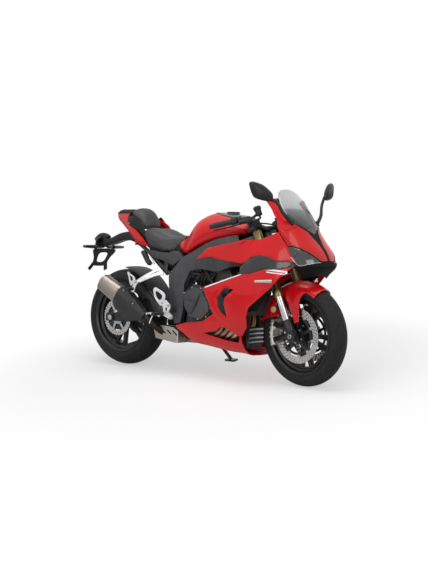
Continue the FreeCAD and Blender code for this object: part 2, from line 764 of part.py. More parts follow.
def stand_room():
    """Space in which the side stand's eye turns."""
    place, sole = stand_frame()
    eye = Part.makeCylinder(24, STAND_EYE + 2 * d.seat_gap, Vector(0, 0, -STAND_EYE / 2 - d.seat_gap))
    pin = Part.makeCylinder(d.stand_pin, STAND_EYE + 4, Vector(0, 0, -STAND_EYE / 2 - 2))
    room = eye.cut(pin)
    room.Placement = place
    return room


def along_fork(height):
    """Point of the steering axis at a height measured along the fork."""
    return fork_foot + STEER_AXIS * float(height)


def frame_piece():
    """Twin-spar frame: steering head, spars, pivot plates and seat rails."""
    outline = [(1118, 872), (1095, 881), (996, 861), (882, 838), (794, 808), (735, 778), (660, 742),
               (600, 716), (520, 640), (486, 600), (500, 420), (551, 311), (600, 318), (622, 400),
               (628, 560), (674, 640), (743, 654), (892, 642), (963, 672), (1105, 690), (1180, 722)]
    side = prism(outline, 0, 200)
    outer = d.spar_outside
    plan = [(470, outer - 18), (620, outer), (850, outer), (960, outer - 22), (1080, 74), (1170, 40),
            (1170, 0), (1104, 6), (1040, 46), (940, outer - 62), (850, outer - d.spar_thickness),
            (620, outer - d.spar_thickness), (470, outer - d.spar_thickness - 18)]
    face = Part.Face(polygon([(x, y, 250) for x, y in plan]))
    spar = face.extrude(Vector(0, 0, 700)).common(side)
    low = along_fork(d.low_yoke_height + d.yoke_thickness * 0.75 + 5)
    high = along_fork(d.top_yoke_height - d.yoke_thickness / 2 - 5)
    length = (high - low).Length
    head = Part.makeCylinder(d.head_radius, length, low, STEER_AXIS)
    room = Part.makeCylinder(160, 60, low - STEER_AXIS * 60, STEER_AXIS)
    room = room.fuse(Part.makeCylinder(160, 60, high, STEER_AXIS))
    bore = Part.makeCylinder(d.stem_radius + d.running_gap, length + 20, low - STEER_AXIS * 10, STEER_AXIS)
    rails = []
    for y in (-1, 1):
        run = [Vector(540, y * 128, 570), Vector(480, y * RAIL_SIDE, 604), Vector(310, y * RAIL_SIDE, 728),
               Vector(180, y * RAIL_END, 800)]
        rails.append(tube_path(run, RAIL_RADIUS))
    cross = [Part.makeCylinder(RAIL_RADIUS, 2 * RAIL_END, Vector(190, -RAIL_END, 795), AXIS_Y),
             Part.makeCylinder(15, 2 * 150, Vector(600, -150, 690), AXIS_Y), stand_bracket()]
    pin = Part.makeCylinder(14 + d.running_gap, 400, PIVOT - AXIS_Y * 200, AXIS_Y)
    stand_lug = prism([(520, 330), (606, 330), (592, 276), (530, 276)], 118, 131)
    spars = spar.multiFuse([spar.mirror(Vector(0, 0, 0), AXIS_Y), stand_lug]).cut(room)
    shape = head.multiFuse([spars] + rails + cross)
    return solid_node("frame", shape.cut(bore).cut(pin).cut(stand_room()))


def engine():
    """Crankcase, inclined cylinder block and head, with its covers' bosses."""
    case = [(632, 335), (650, 262), (760, 250), (920, 262), (955, 310), (945, 430), (905, 510),
            (700, 545), (650, 500), (640, 400)]
    shape = prism(case, -ENGINE_HALF, ENGINE_HALF)
    block = [(770, 520), (905, 480), (962, 600), (925, 650), (850, 690), (790, 640)]
    shape = shape.fuse(prism(block, -98, 98))
    inside = d.spar_outside - d.spar_thickness - 4.1
    mount = Part.makeCylinder(16, 2 * inside, Vector(604, -inside, 450), AXIS_Y)
    arm = prism([(600, 440), (660, 430), (660, 475), (600, 462)], -40, 40)
    sprocket_room = prism([(560, 340), (712, 340), (712, 476), (560, 476)], 88, 200)
    shaft = Part.makeCylinder(12, 40, FRONT_SPROCKET + AXIS_Y * 80, AXIS_Y)
    wheel = Part.makeCylinder(36, d.tooth_thickness,
                              FRONT_SPROCKET + AXIS_Y * (d.chain_place - d.tooth_thickness / 2), AXIS_Y)
    return solid_node("engine", shape.multiFuse([arm, mount]).cut(sprocket_room).multiFuse([shaft, wheel]))


def engine_covers():
    """Clutch cover on the right, alternator cover and sprocket cover on the left."""
    face = ENGINE_HALF + d.seat_gap
    pieces = []
    for side, outline, steps in (
            (-1, [(632, 508), (717, 560), (782, 540), (850, 452), (857, 402), (792, 340), (700, 350),
                  (640, 420)], ((0, 30), (14, 46))),
            (1, [(820, 500), (900, 520), (970, 470), (980, 380), (930, 320), (840, 320), (790, 400)],
             ((0, 26), (14, 38)))):
        middle = Vector(sum(x for x, z in outline) / len(outline), 0, sum(z for x, z in outline) / len(outline))
        solids = []
        for inset, depth in steps:
            ring = []
            for x, z in outline:
                offset = Vector(x, 0, z) - middle
                ring.append((x - offset.x / offset.Length * inset, z - offset.z / offset.Length * inset))
            low, high = sorted((side * face, side * (face + depth)))
            solids.append(prism(ring, low, high))
        pieces.append(solids[0].fuse(solids[1]))
    return solid_node("engine_covers", Part.makeCompound(pieces))


def radiator():
    """Radiator core behind the front wheel and oil cooler below it."""
    core = prism([(1024, 390), (1054, 385), (1058, 640), (1028, 645)], -RADIATOR_HALF, RADIATOR_HALF)
    cooler = prism([(1026, 200), (1056, 196), (1060, 312), (1030, 316)], -66, 72)
    stay = [prism([(1028, 312), (1050, 312), (1050, 392), (1028, 392)], y, y + 8) for y in (-60, 52)]
    stay += [prism([(1030, 640), (1046, 640), (1046, 680), (1030, 680)], y, y + 14) for y in (-76, 62)]
    return solid_node("radiator", core.multiFuse([cooler] + stay))


frame_piece()
engine()
engine_covers()
radiator()


def exhaust():
    """Four header pipes into a chamber, link pipe, silencer can and its shield."""
    engine_shape = next(item for name, item, body in nodes if name == "engine").Shape.copy()
    engine_shape.Placement = Placement(Vector(d.seat_gap, 0, 0), Rotation())
    pipes = []
    for y in (-72, -24, 24, 72):
        low = 0.6 * y
        points = [Vector(930, y, 590), Vector(984, y, 560), Vector(984, y, 330), Vector(962, low, 244),
                  Vector(880, low, 212), Vector(CHAMBER_FRONT + d.seat_gap, low, 208)]
        pipes.append(tube_path(points, 18))
    headers = pipes[0].multiFuse(pipes[1:]).cut(engine_shape)
    solid_node("exhaust_headers", biggest(headers))
    outline = [(353, 268), (372, 208), (529, 190), (CHAMBER_FRONT, 190), (CHAMBER_FRONT, 262),
               (516, 284), (420, 292)]
    chamber = prism(outline, -132, 60)
    along = (SILENCER_JOINT - SILENCER_FRONT).normalize()
    link = tube_path([Vector(430, -110, 240), Vector(392, -158, 284), SILENCER_FRONT - along * 26,
                      SILENCER_FRONT], 22)
    solid_node("exhaust_chamber", chamber.fuse(link))


CHAMBER_FRONT = 560
SILENCER_FRONT, SILENCER_JOINT = Vector(326, -186, 340), Vector(126, -208, 466)


def biggest(shape):
    return max(shape.Solids, key=lambda solid: solid.Volume)


exhaust()


def silencer():
    """Tapered can with a chamfered rear end, and the shield over its front."""
    front, joint, rear = SILENCER_FRONT, SILENCER_JOINT, Vector(-40, -222, 560)

    def section(at, width, height, direction, lift=0.0):
        along = Vector(direction)
        along.normalize()
        up = AXIS_Z - along * along.z
        up.normalize()
        at = at + up * lift
        side = along.cross(up)
        corners = [(-0.5, -0.2), (-0.34, -0.5), (0.34, -0.5), (0.5, -0.2), (0.5, 0.2), (0.34, 0.5),
                   (-0.34, 0.5), (-0.5, 0.2)]
        return polygon([tuple(at + side * (a * width) + up * (b * height)) for a, b in corners])

    along = rear - joint
    can = Part.makeLoft([section(joint, 96, 122, along), section(joint + along * 0.5, 100, 122, along),
                         section(rear, 94, 104, along)], True, False)
    solid_node("silencer", can)
    back = joint - front
    before = Vector(back).normalize() * float(d.seat_gap)
    shield = Part.makeLoft([section(front + before, 54, 52, back),
                            section(front + back * 0.45, 74, 150, back, -22),
                            section(front + back * 0.76, 86, 152, back, -8),
                            section(joint - before, 100, 126, along)], True, True)
    solid_node("silencer_shield", shield)


silencer()


def fuel_tank():
    """Tank with shoulders and a sloping rear face; the cover lies on its top."""
    sections = [
        (548, [(0, 852), (50, 848), (95, 825), (118, 800), (110, 776), (0, 772)]),
        (610, [(0, 893), (55, 888), (105, 862), (128, 826), (140, 768), (0, 764)]),
        (684, [(0, 944), (60, 942), (112, 934), (154, 882), (160, 800), (0, 792)]),
        (760, [(0, 992), (60, 988), (120, 960), (169, 896), (158, 830), (0, 822)]),
        (840, [(0, 992), (60, 986), (122, 956), (168, 902), (154, 850), (0, 845)]),
        (940, [(0, 980), (60, 970), (118, 941), (154, 902), (144, 872), (0, 868)]),
        (1010, [(0, 962), (55, 954), (100, 928), (126, 898), (118, 884), (0, 880)]),
        (1045, [(0, 925), (45, 920), (78, 906), (92, 896), (84, 888), (0, 886)]),
    ]
    tank = loft_sections([(x, [(y, z) if z > 900 or y == 0 and z > 800 else (y, z - 8) for y, z in half])
                          for x, half in sections])
    spars = next(item for name, item, body in nodes if name == "frame").Shape.copy()
    spars.Placement = Placement(Vector(0, 0, d.seat_gap), Rotation())
    tank = biggest(tank.cut(spars))
    solid_node("fuel_tank", tank)
    outline = [(752, 30), (790, 62), (850, 82), (920, 84), (985, 66), (1012, 40)]
    plan = polygon([(x, y, 900) for x, y in outline] + [(x, -y, 900) for x, y in reversed(outline)])
    plate = biggest(tank.translated(Vector(0, 0, 4)).cut(tank.translated(Vector(0, 0, d.seat_gap))).common(
        Part.Face(plan).extrude(Vector(0, 0, 150))))
    cap = Part.makeCylinder(40, 16, Vector(868, 0, 986)).cut(tank.translated(Vector(0, 0, d.seat_gap)))
    solid_node("tank_cover", plate.fuse(biggest(cap)))


RIDER_BASE = [(228, 850), (251, 832), (305, 779), (434, 751), (483, 751), (520, 790), (556, 828)]
PILLION_BASE = [(90, 962), (110, 934), (185, 907), (236, 902), (256, 902)]


def above(base, lift=0.0):
    """Everything above a line in side view."""
    line = [(x, z + lift) for x, z in base]
    return prism(line + [(line[-1][0], 1200), (line[0][0], 1200)], -300, 300)


def seats():
    """Rider and passenger cushions, each as a plain closed solid on its flat base."""
    rider = [
        (236, [(0, 890), (60, 893), (98, 888), (116, 862), (110, 836), (0, 828)]),
        (262, [(0, 896), (70, 898), (112, 888), (132, 850), (124, 812), (0, 804)]),
        (310, [(0, 886), (76, 890), (126, 876), (144, 828), (132, 770), (0, 760)]),
        (371, [(0, 858), (78, 864), (128, 856), (148, 805), (134, 748), (0, 738)]),
        (430, [(0, 838), (72, 844), (118, 842), (142, 796), (130, 740), (0, 730)]),
        (490, [(0, 842), (56, 846), (94, 842), (112, 800), (104, 742), (0, 732)]),
        (545, [(0, 856), (36, 855), (62, 848), (74, 828), (66, 790), (0, 780)]),
    ]
    pillion = [
        (92, [(0, 1014), (48, 1012), (74, 1003), (86, 980), (78, 948), (0, 935)]),
        (150, [(0, 1026), (58, 1026), (92, 1012), (104, 965), (96, 905), (0, 885)]),
        (200, [(0, 1008), (60, 1008), (94, 993), (104, 945), (96, 885), (0, 870)]),
        (235, [(0, 966), (58, 966), (88, 956), (98, 925), (90, 880), (0, 868)]),
        (250, [(0, 928), (48, 927), (74, 920), (84, 902), (78, 882), (0, 870)]),
    ]
    solid_node("rider_seat", loft_sections(rider).common(above(RIDER_BASE, float(d.seat_gap))))
    solid_node("pillion_seat", loft_sections(pillion).common(above(PILLION_BASE, float(d.seat_gap))))


TAIL_SECTIONS = [
    (-40, [(0, 1022), (40, 1016), (66, 1000), (70, 972), (58, 950), (0, 946)]),
    (20, [(0, 1022), (50, 1015), (84, 994), (92, 948), (76, 908), (0, 902)]),
    (90, [(0, 1010), (60, 1004), (102, 982), (116, 918), (98, 858), (0, 852)]),
    (128, [(0, 990), (60, 986), (112, 966), (128, 902), (112, 834), (0, 826)]),
    (170, [(0, 960), (60, 958), (116, 946), (135, 872), (120, 804), (0, 796)]),
    (230, [(0, 910), (60, 908), (118, 898), (142, 828), (126, 772), (0, 766)]),
    (295, [(0, 840), (60, 838), (118, 828), (138, 792), (122, 762), (0, 756)]),
]


def tail():
    """Wedge-shaped hollow tail, open below, that carries both seats; the lamp in its rear end."""
    wall = 7
    inside = [(x, [(max(y - wall, 0), z - wall) if index < 3 else
                   ((y - wall, z) if index == 3 else (max(y - wall, 0), z - 40))
                   for index, (y, z) in enumerate(half)])
              for x, half in TAIL_SECTIONS]
    inside[0] = (-30, inside[0][1])
    inside[-1] = (300, inside[-1][1])
    shell = loft_sections(TAIL_SECTIONS).cut(loft_sections(inside))
    rail_outside = RAIL_END + RAIL_RADIUS + 1.5 + float(d.seat_gap)
    outline = [(176, 788), (192, 788), (192, 836), (176, 836)]
    for side in (-1, 1):
        low, high = sorted((side * rail_outside, side * 132))
        shell = shell.fuse(prism(outline, low, high))
    shell = shell.cut(above([(TRAY_BACK, 936), (106, 916), (180, 884), (251, 831)] + RIDER_BASE[2:]))
    tail_end = TAIL_SECTIONS[0][0] - float(d.seat_gap)
    solid_node("tail_cowl", biggest(shell))
    lamp = prism([(tail_end, 1004), (tail_end - 16, 1000), (tail_end - 12, 968), (tail_end, 956)], -60, 60)
    solid_node("tail_lamp", lamp)


TRAY_BACK, TRAY_INSIDE, TRAY_WALL = 90, 109, 5


def seat_tray():
    """Dark tray between the tail's sides that carries the passenger's cushion."""
    back = TRAY_BACK + float(d.seat_gap)
    outline = [(back, 976), (138, 972), (147, 962), (219, 930), (232, 905), (232, 846), (180, 888),
               (110, 918), (back, 944)]
    floor = [(back, PILLION_BASE[0][1] - 1)] + PILLION_BASE[1:3] + [(232, 901), (232, 890), (185, 896),
                                                                (110, 924), (back, 940)]
    sides = [prism(outline, *sorted((side * TRAY_INSIDE, side * (TRAY_INSIDE + TRAY_WALL)))) for side in (-1, 1)]
    pan = prism(floor, -TRAY_INSIDE - 1, TRAY_INSIDE + 1)
    solid_node("seat_tray", pan.multiFuse(sides))


fuel_tank()
seats()
tail()
seat_tray()

# Outside of the bodywork: height, foremost x, x where the side is widest, half width there.
NOSE_LEVELS = [
    (600, 1478, 1290, 236), (650, 1522, 1290, 236), (690, 1566, 1290, 233), (720, 1561, 1290, 230),
    (750, 1549, 1288, 226), (800, 1515, 1280, 216), (850, 1475, 1262, 205), (888, 1449, 1245, 199),
    (930, 1428, 1232, 189), (980, 1398, 1220, 176), (1030, 1360, 1208, 169), (1080, 1312, 1196, 163),
    (1140, 1250, 1180, 150),
]
SIDE_LEVELS = [
    (200, 150), (250, 184), (300, 203), (350, 215), (400, 224), (450, 230), (500, 235), (550, 238),
    (600, 238), (650, 237), (700, 232), (750, 226), (800, 216), (850, 205), (888, 199),
]
NOSE_ROUNDNESS = 2.3
SIDE_TAPER = 0.06


def half_width(x, full, nose_x=1566, wide_x=1290):
    """Half width of the bodywork at one height, at x."""
    if x <= wide_x:
        return full * (1 - SIDE_TAPER * ((wide_x - x) / 500) ** 2)
    share = min((x - wide_x) / (nose_x - wide_x), 1)
    return full * (1 - share ** NOSE_ROUNDNESS) ** (1 / NOSE_ROUNDNESS)


def side_skin(inset=0, wall=None, low=200, high=888, rear=560, front=1470):
    """Right half of the bodywork's wall, as a smooth sheet with a thickness."""
    wall = float(d.panel_wall) if wall is None else wall
    rows = []
    for step in range(12):
        x = rear + (front - rear) * step / 11
        rows.append([(x, -half_width(x, full) + inset, z) for z, full in SIDE_LEVELS if low <= z <= high])
    return sheet_solid(rows, wall, lambda point: AXIS_Y)


def nose_skin(inset=0, wall=None, low=600, high=1140, last=90, first=0):
    """Right half of the nose's wall: at each height a rounded quarter, from the tip to the side."""
    wall = float(d.panel_wall) if wall is None else wall
    rows = []
    for z, nose_x, wide_x, full in NOSE_LEVELS:
        if not low <= z <= high:
            continue
        line = []
        for step in range(11):
            angle = math.radians(first + (last - first) * step / 10)
            power = 2 / NOSE_ROUNDNESS
            line.append((wide_x + (nose_x - wide_x - inset) * math.cos(angle) ** power,
                         -(full - inset) * math.sin(angle) ** power, z))
        rows.append(line)

    def inward(point):
        direction = Vector(1230 - point.x, -point.y, 0)
        direction.normalize()
        return direction

    return sheet_solid(rows, wall, inward)


def front_prism(outline):
    """Outline (y, z) seen from ahead, through the whole nose."""
    face = Part.Face(polygon([(1100, y, z) for y, z in outline]))
    return face.extrude(Vector(600, 0, 0))


UPPER_OUTLINE = [(764, 715), (843, 782), (1047, 819), (1079, 829), (1231, 837), (1346, 879), (1417, 794),
                 (1439, 745), (1444, 718), (1365, 718), (1299, 741), (1233, 748), (1179, 734),
                 (1125, 697), (1027, 706), (941, 717), (868, 731), (816, 722)]
LOWER_OUTLINE = [(831, 550), (1122, 639), (1175, 641), (1262, 664), (1394, 675), (1452, 688), (1402, 641),
                 (1320, 557), (1172, 446), (1153, 398), (1150, 330), (1105, 273), (926, 375), (903, 391),
                 (831, 538)]


LAMP_OUTLINE = [(-204, 786), (-185, 806), (-150, 788), (-110, 756), (-62, 722), (-70, 711), (-100, 714),
                (-182, 694), (-196, 745)]
COWL_SIDE = [(1340, 868), (1400, 780), (1430, 745), (1446, 716), (1476, 692), (1600, 692),
             (1600, 1000), (1450, 1100), (1290, 1075), (1242, 1066), (1286, 1010), (1342, 965),
             (1376, 925), (1372, 888)]
SCREEN_OUTLINE = [(0, 872), (-60, 902), (-112, 930), (-134, 968), (-138, 1020), (-124, 1072), (-100, 1104),
                  (-60, 1124), (0, 1132)]


def grown(outline, amount):
    """Outline moved outward by an amount."""
    wire = polygon([(x, 0, z) for x, z in outline])
    return [(v.X, v.Z) for v in wire.makeOffset2D(float(amount), 2).OrderedVertexes]


def boss(x, z, inner, outer, radius=8):
    """Round boss on the right from an inner to an outer half width."""
    return Part.makeCylinder(radius, float(outer - inner), Vector(x, -float(outer), z), AXIS_Y)


def upper_fairing():
    """Side fairing from the tank to the headlamp."""
    panel = side_skin(low=650).common(prism(UPPER_OUTLINE, -300, 0))
    solid_node("side_fairings", both_sides(biggest(panel)))


def lower_fairing():
    """Lower side fairing with its vent."""
    vent = [(1001, 555), (1067, 545), (998, 495), (988, 465), (1007, 381), (962, 408), (939, 445),
            (940, 497)]
    panel = side_skin(low=200, high=750).common(prism(LOWER_OUTLINE, -300, 0))
    panel = panel.cut(prism(vent, -300, 0))
    mount = boss(1040, 600, RADIATOR_HALF + d.seat_gap, half_width(1040, 238) - 2)
    return biggest(panel.fuse(mount))


def wings():
    """Black blade between the upper and the lower side fairing."""
    outline = [(1111, 674), (1160, 720), (1233, 750), (1299, 743), (1365, 720), (1444, 720), (1470, 696),
               (1452, 686), (1394, 670), (1262, 660), (1175, 638), (1112, 634)]
    panel = side_skin(inset=-2, low=550, front=1480).common(prism(outline, -300, 0))
    for neighbour in (UPPER_OUTLINE, LOWER_OUTLINE):
        panel = panel.cut(prism(grown(neighbour, d.seat_gap), -300, 0))
    panel = panel.cut(prism(grown(COWL_SIDE, d.seat_gap), -300, 0))
    solid_node("fairing_wings", both_sides(biggest(panel)))


# The belly pan's turn from its side to its flat floor: share of the width, share of the depth.
BELLY_TURN = [(0.94, 0.4), (0.83, 0.78), (0.62, 0.97), (0.3, 1), (0, 1)]


def belly_pan():
    """Trough under the engine, with the exhaust windows in its sides."""
    bottom = {575: 262, 631: 234, 686: 204, 780: 190, 871: 180, 995: 168, 1090: 164, 1160: 163}
    rows = []
    for x, floor in bottom.items():
        wide = [-half_width(x, width) for width in (224, 215, 203)]
        drop = 300 - floor
        line = [(x, wide[0], 400), (x, wide[1], 350), (x, wide[2], 300)]
        line += [(x, wide[2] * inward, 300 - drop * depth) for inward, depth in BELLY_TURN]
        rows.append(line)

    def inward(point):
        direction = Vector(0, -point.y, 300 - point.z)
        direction.normalize()
        return direction

    skin = sheet_solid(rows, float(d.panel_wall), inward)
    outline = [(578, 303), (666, 325), (810, 344), (896, 392), (926, 385), (1106, 283), (1150, 230),
               (1158, 160), (995, 150), (871, 165), (686, 190), (628, 228)]
    window = [(809, 273), (905, 291), (965, 326), (1092, 271), (1077, 236), (989, 242), (849, 265)]
    half = skin.common(prism(outline, -300, 40)).cut(prism(window, -300, -100))
    half = half.cut(prism(grown(LOWER_OUTLINE, d.seat_gap), -300, 0))
    outlet = [(540, 100), (800, 100), (840, 250), (540, 290)]
    return biggest(half.cut(prism(outlet, -130, 40)))


def wheel_room():
    """Space that the front tyre sweeps as it steers: it swings forward, so its straight place is enough."""
    axle = Vector(d.wheelbase, 0, d.front_tyre_radius)
    return Part.makeCylinder(d.front_tyre_radius + 12, 800, axle - AXIS_Y * 400, AXIS_Y)


def lower_bodywork():
    right = lower_fairing()
    solid_node("lower_fairings", both_sides(right))
    half = belly_pan()
    whole = half.fuse(half.mirror(Vector(0, 0, 0), AXIS_Y))
    solid_node("belly_pan", biggest(whole.cut(wheel_room())))


def nose():
    """Nose cowl, headlamps and windscreen, all cut from one smooth surface."""
    skin = nose_skin(low=650)
    opening = [(30, 872)] + SCREEN_OUTLINE + [(30, 1160)]
    cowl = skin.common(prism(COWL_SIDE, -300, 40)).cut(prism(grown(UPPER_OUTLINE, d.seat_gap), -300, 0))
    cowl = cowl.cut(front_prism(grown(opening, d.seat_gap))).cut(
        front_prism(grown(LAMP_OUTLINE, d.seat_gap)))
    half = biggest(cowl)
    solid_node("nose_cowl", half.fuse(half.mirror(Vector(0, 0, 0), AXIS_Y)))
    lamp = nose_skin(inset=3, wall=26, low=650).common(front_prism(LAMP_OUTLINE))
    lamp = lamp.common(prism([(1405, 600), (1405, 900), (1600, 900), (1600, 600)], -300, 0))
    solid_node("headlamps", both_sides(biggest(lamp)))
    screen = nose_skin(wall=3, low=850).common(front_prism(SCREEN_OUTLINE))
    half = biggest(screen)
    solid_node("windscreen", half.fuse(half.mirror(Vector(0, 0, 0), AXIS_Y)))


upper_fairing()
lower_bodywork()
wings()
nose()


CHIN_TOP = 692 - float(d.seat_gap)


def inner_panels():
    """Dark panels inside the fairing beside the fork, and the chin under the lamps."""
    outline = [(1085, 420), (1150, 420), (1213, 430), (1300, 560), (1385, 660), (1360, 685), (1250, 640),
               (1130, 600), (1085, 560)]
    side = prism(outline, -200, -196).fuse(boss(1180, 500, 196, half_width(1180, 235) - d.panel_wall - 3 * d.seat_gap))
    chin = nose_skin(inset=4.4, wall=4, low=600, high=720).common(
        prism([(1380, 622), (1462, 618), (1560, 670), (1580, CHIN_TOP), (1400, CHIN_TOP)], -300, 40))
    chin = chin.common(front_prism([(40, 618), (-116, 618), (-200, 690), (-200, CHIN_TOP), (40, CHIN_TOP)]))
    half = biggest(chin.cut(front_prism(grown(LAMP_OUTLINE, d.seat_gap))))
    pieces = [side, side.mirror(Vector(0, 0, 0), AXIS_Y), half.fuse(half.mirror(Vector(0, 0, 0), AXIS_Y))]
    solid_node("inner_panels", Part.makeCompound(pieces))


def nose_point(z, angle, inset=0):
    """Point of the nose's outside on the right and the direction out of it there."""
    levels = [level[0] for level in NOSE_LEVELS]
    above_it = next(index for index, level in enumerate(levels) if level > z)
    low, high = NOSE_LEVELS[above_it - 1], NOSE_LEVELS[above_it]
    share = (z - low[0]) / (high[0] - low[0])
    nose_x, wide_x, full = [a + (b - a) * share for a, b in zip(low[1:], high[1:])]
    power = 2 / NOSE_ROUNDNESS

    def at(degrees):
        turn_to = math.radians(degrees)
        return Vector(wide_x + (nose_x - wide_x) * math.cos(turn_to) ** power,
                      -full * math.sin(turn_to) ** power, z)

    along = at(angle + 1) - at(angle - 1)
    outward = Vector(-along.y, along.x, 0).normalize()
    return at(angle) - outward * float(inset), outward


def mirrors():
    """Mirror heads on stalks from round feet on the nose cowl."""
    head_outline = [(-400, 1150), (-385, 1100), (-370, 1070), (-300, 1058), (-252, 1062), (-250, 1100),
                    (-320, 1140)]
    head = Part.Face(polygon([(1308, y, z) for y, z in head_outline])).extrude(Vector(26, 0, 0))
    foot, outward = nose_point(935, 40)
    foot = foot + outward * (12 + d.seat_gap + 1.5)
    right = head.multiFuse([tube_path([foot, Vector(1350, -205, 1010), Vector(1330, -262, 1075)], 8),
                            Part.makeSphere(12, foot)])
    solid_node("mirrors", both_sides(right))


def instruments():
    """Display behind the windscreen, on the fairing's stay from the steering head."""
    face = prism([(1232, 962), (1250, 966), (1290, 900), (1272, 892)], -82, 82)
    reach = float(d.head_radius + d.seat_gap)
    beam = Part.makeBox(165 - reach, 24, 26, Vector(reach, -12, 548))
    riser = Part.makeBox(24, 24, 60, Vector(141, -12, 560))
    beam = beam.fuse(riser)
    beam.Placement = fork_frame
    arms = []
    for level, angle in ((850, 50), (925, 40)):
        point, outward = nose_point(level, angle)
        pad_centre = point - outward * (d.panel_wall + 9.5 + d.seat_gap)
        root = fork_frame.multVec(Vector(152, 0, 580))
        arms += [tube_path([root, pad_centre], 6), Part.makeSphere(8, pad_centre)]
    arms = arms + [arm.mirror(Vector(0, 0, 0), AXIS_Y) for arm in arms]
    solid_node("instruments", face.multiFuse([beam] + arms))


inner_panels()
mirrors()
instruments()


def side_panels():
    """Dark panels under the seat, between the tail and the frame."""
    outline = [(310, 756), (340, 756), (434, 746), (486, 746), (520, 760), (566, 752), (598, 722), (520, 668),
               (460, 690), (411, 702), (352, 712), (322, 728)]
    inner = RAIL_SIDE + RAIL_RADIUS + float(d.seat_gap)
    tab = prism([(430, 706), (462, 696), (456, 614), (434, 630)], -inner - 6, -inner)
    solid_node("side_panels", both_sides(prism(outline, -150, -inner).fuse(tab)))


SPOOL_HOLE, SPOOL_RADIUS = Vector(72, 0, 322), 3.4
BRIDGE_RISE = 25


def swingarm():
    """Braced swingarm: two arms, a bridge ahead of the tyre and the pivot tube."""
    z = PIVOT.z
    outline = [(-52, 290), (-52, 340), (60, 352), (200, 440), (312, 502), (350, 466), (412, z + 21),
               (545, z + 21), (576, z + 5), (560, z - 27), (400, z - 50), (262, 309), (120, 294)]
    window = [(120, 348), (214, 400), (308, 456), (350, 410), (300, 362), (200, 345)]
    low, high = d.arm_inside, d.arm_inside + d.arm_thickness
    waist, narrow = PIVOT_HALF, PIVOT_HALF - 32
    plan = [(-60, low), (-60, high), (330, high), (410, high - 8), (492, waist), (600, waist), (600, narrow),
            (500, narrow), (410, low - 12), (330, low)]
    band = Part.Face(polygon([(x, y, 200) for x, y in plan])).extrude(Vector(0, 0, 400))
    arm = band.common(prism(outline, 0, 300)).cut(prism(window, 0, 300))
    arms = [arm, arm.mirror(Vector(0, 0, 0), AXIS_Y)]
    bridge = prism([(345, z - 37), (400, z - 49), (450, z - 35), (450, z + 17), (400, z + BRIDGE_RISE),
                    (352, z + BRIDGE_RISE)],
                   -float(d.arm_inside) + 6, float(d.arm_inside) - 6)
    tube = Part.makeCylinder(27, 2 * narrow + 2, PIVOT - AXIS_Y * (narrow + 1), AXIS_Y)
    axle = Part.makeCylinder(d.axle_radius + d.running_gap, 600, REAR_HUB.Base - AXIS_Y * 300, AXIS_Y)
    pin = Part.makeCylinder(14, 2 * 164, PIVOT - AXIS_Y * 164, AXIS_Y)
    cuts = [axle]
    for side in (-1, 1):
        face = Vector(SPOOL_HOLE.x, side * high, SPOOL_HOLE.z)
        cuts.append(Part.makeCylinder(SPOOL_RADIUS, 24, face, AXIS_Y * -side))
    solid_node("swingarm", arms[0].multiFuse([arms[1], bridge, tube, pin]).cut(cuts))


def rear_axle():
    item = new_body("rear_axle")
    reach = d.arm_inside + d.arm_thickness
    turn(item, [(0, -reach - 18), (17, -reach - 18), (17, -reach - 0.3), (d.axle_radius, -reach - 0.3),
                (d.axle_radius, reach + 0.3), (17, reach + 0.3), (17, reach + 16), (0, reach + 16)])
    node("rear_axle", item, "chassis", rear_hub)


def shock_absorber():
    """Spring and damper between the swingarm's bridge and the frame's cross tube."""
    eye, pitch, ring = 16, 24, 42
    low = Vector(428, 0, PIVOT.z + BRIDGE_RISE + eye + d.seat_gap)
    high = Vector(600, 0, 690 - 15 - eye - d.seat_gap)
    along = high - low
    length = along.Length
    item = new_body("shock_absorber")
    profile = [(0, 8), (12, 8), (12, 26), (ring, 26), (ring, 34)]
    start = 34
    while start + pitch < length - 38:
        profile += [(30, start + 5), (40, start + 10), (40, start + 17), (30, start + 22)]
        start += pitch
    profile += [(ring, length - 38), (ring, length - 30), (14, length - 30), (14, length - 8), (0, length - 8)]
    upright(item, profile)
    pad(item, "XZ_Plane", 30, circles=[(0, 0, eye)])
    pad(item, "XZ_Plane", 30, circles=[(0, length, eye)])
    node("shock_absorber", item, "chassis", bike * Placement(low, Rotation(AXIS_Z, along)))


def rear_mudguard():
    """Hugger over the front of the rear tyre."""
    rows = []
    for step in range(9):
        angle = math.radians(14 + 66 * step / 8)
        rows.append([((330 + 6 * (1 - (k / 3) ** 2)) * math.cos(angle), 96 * k / 3,
                      315 + (330 + 6 * (1 - (k / 3) ** 2)) * math.sin(angle)) for k in range(-3, 4)])

    def outward(point):
        direction = Vector(point.x, 0, point.z - 315)
        direction.normalize()
        return direction

    lug = prism([(322, 390), (347.8, 386), (350.2, 408), (318, 412)], -30, 30)
    solid_node("rear_mudguard", sheet_solid(rows, 4, outward).fuse(lug))


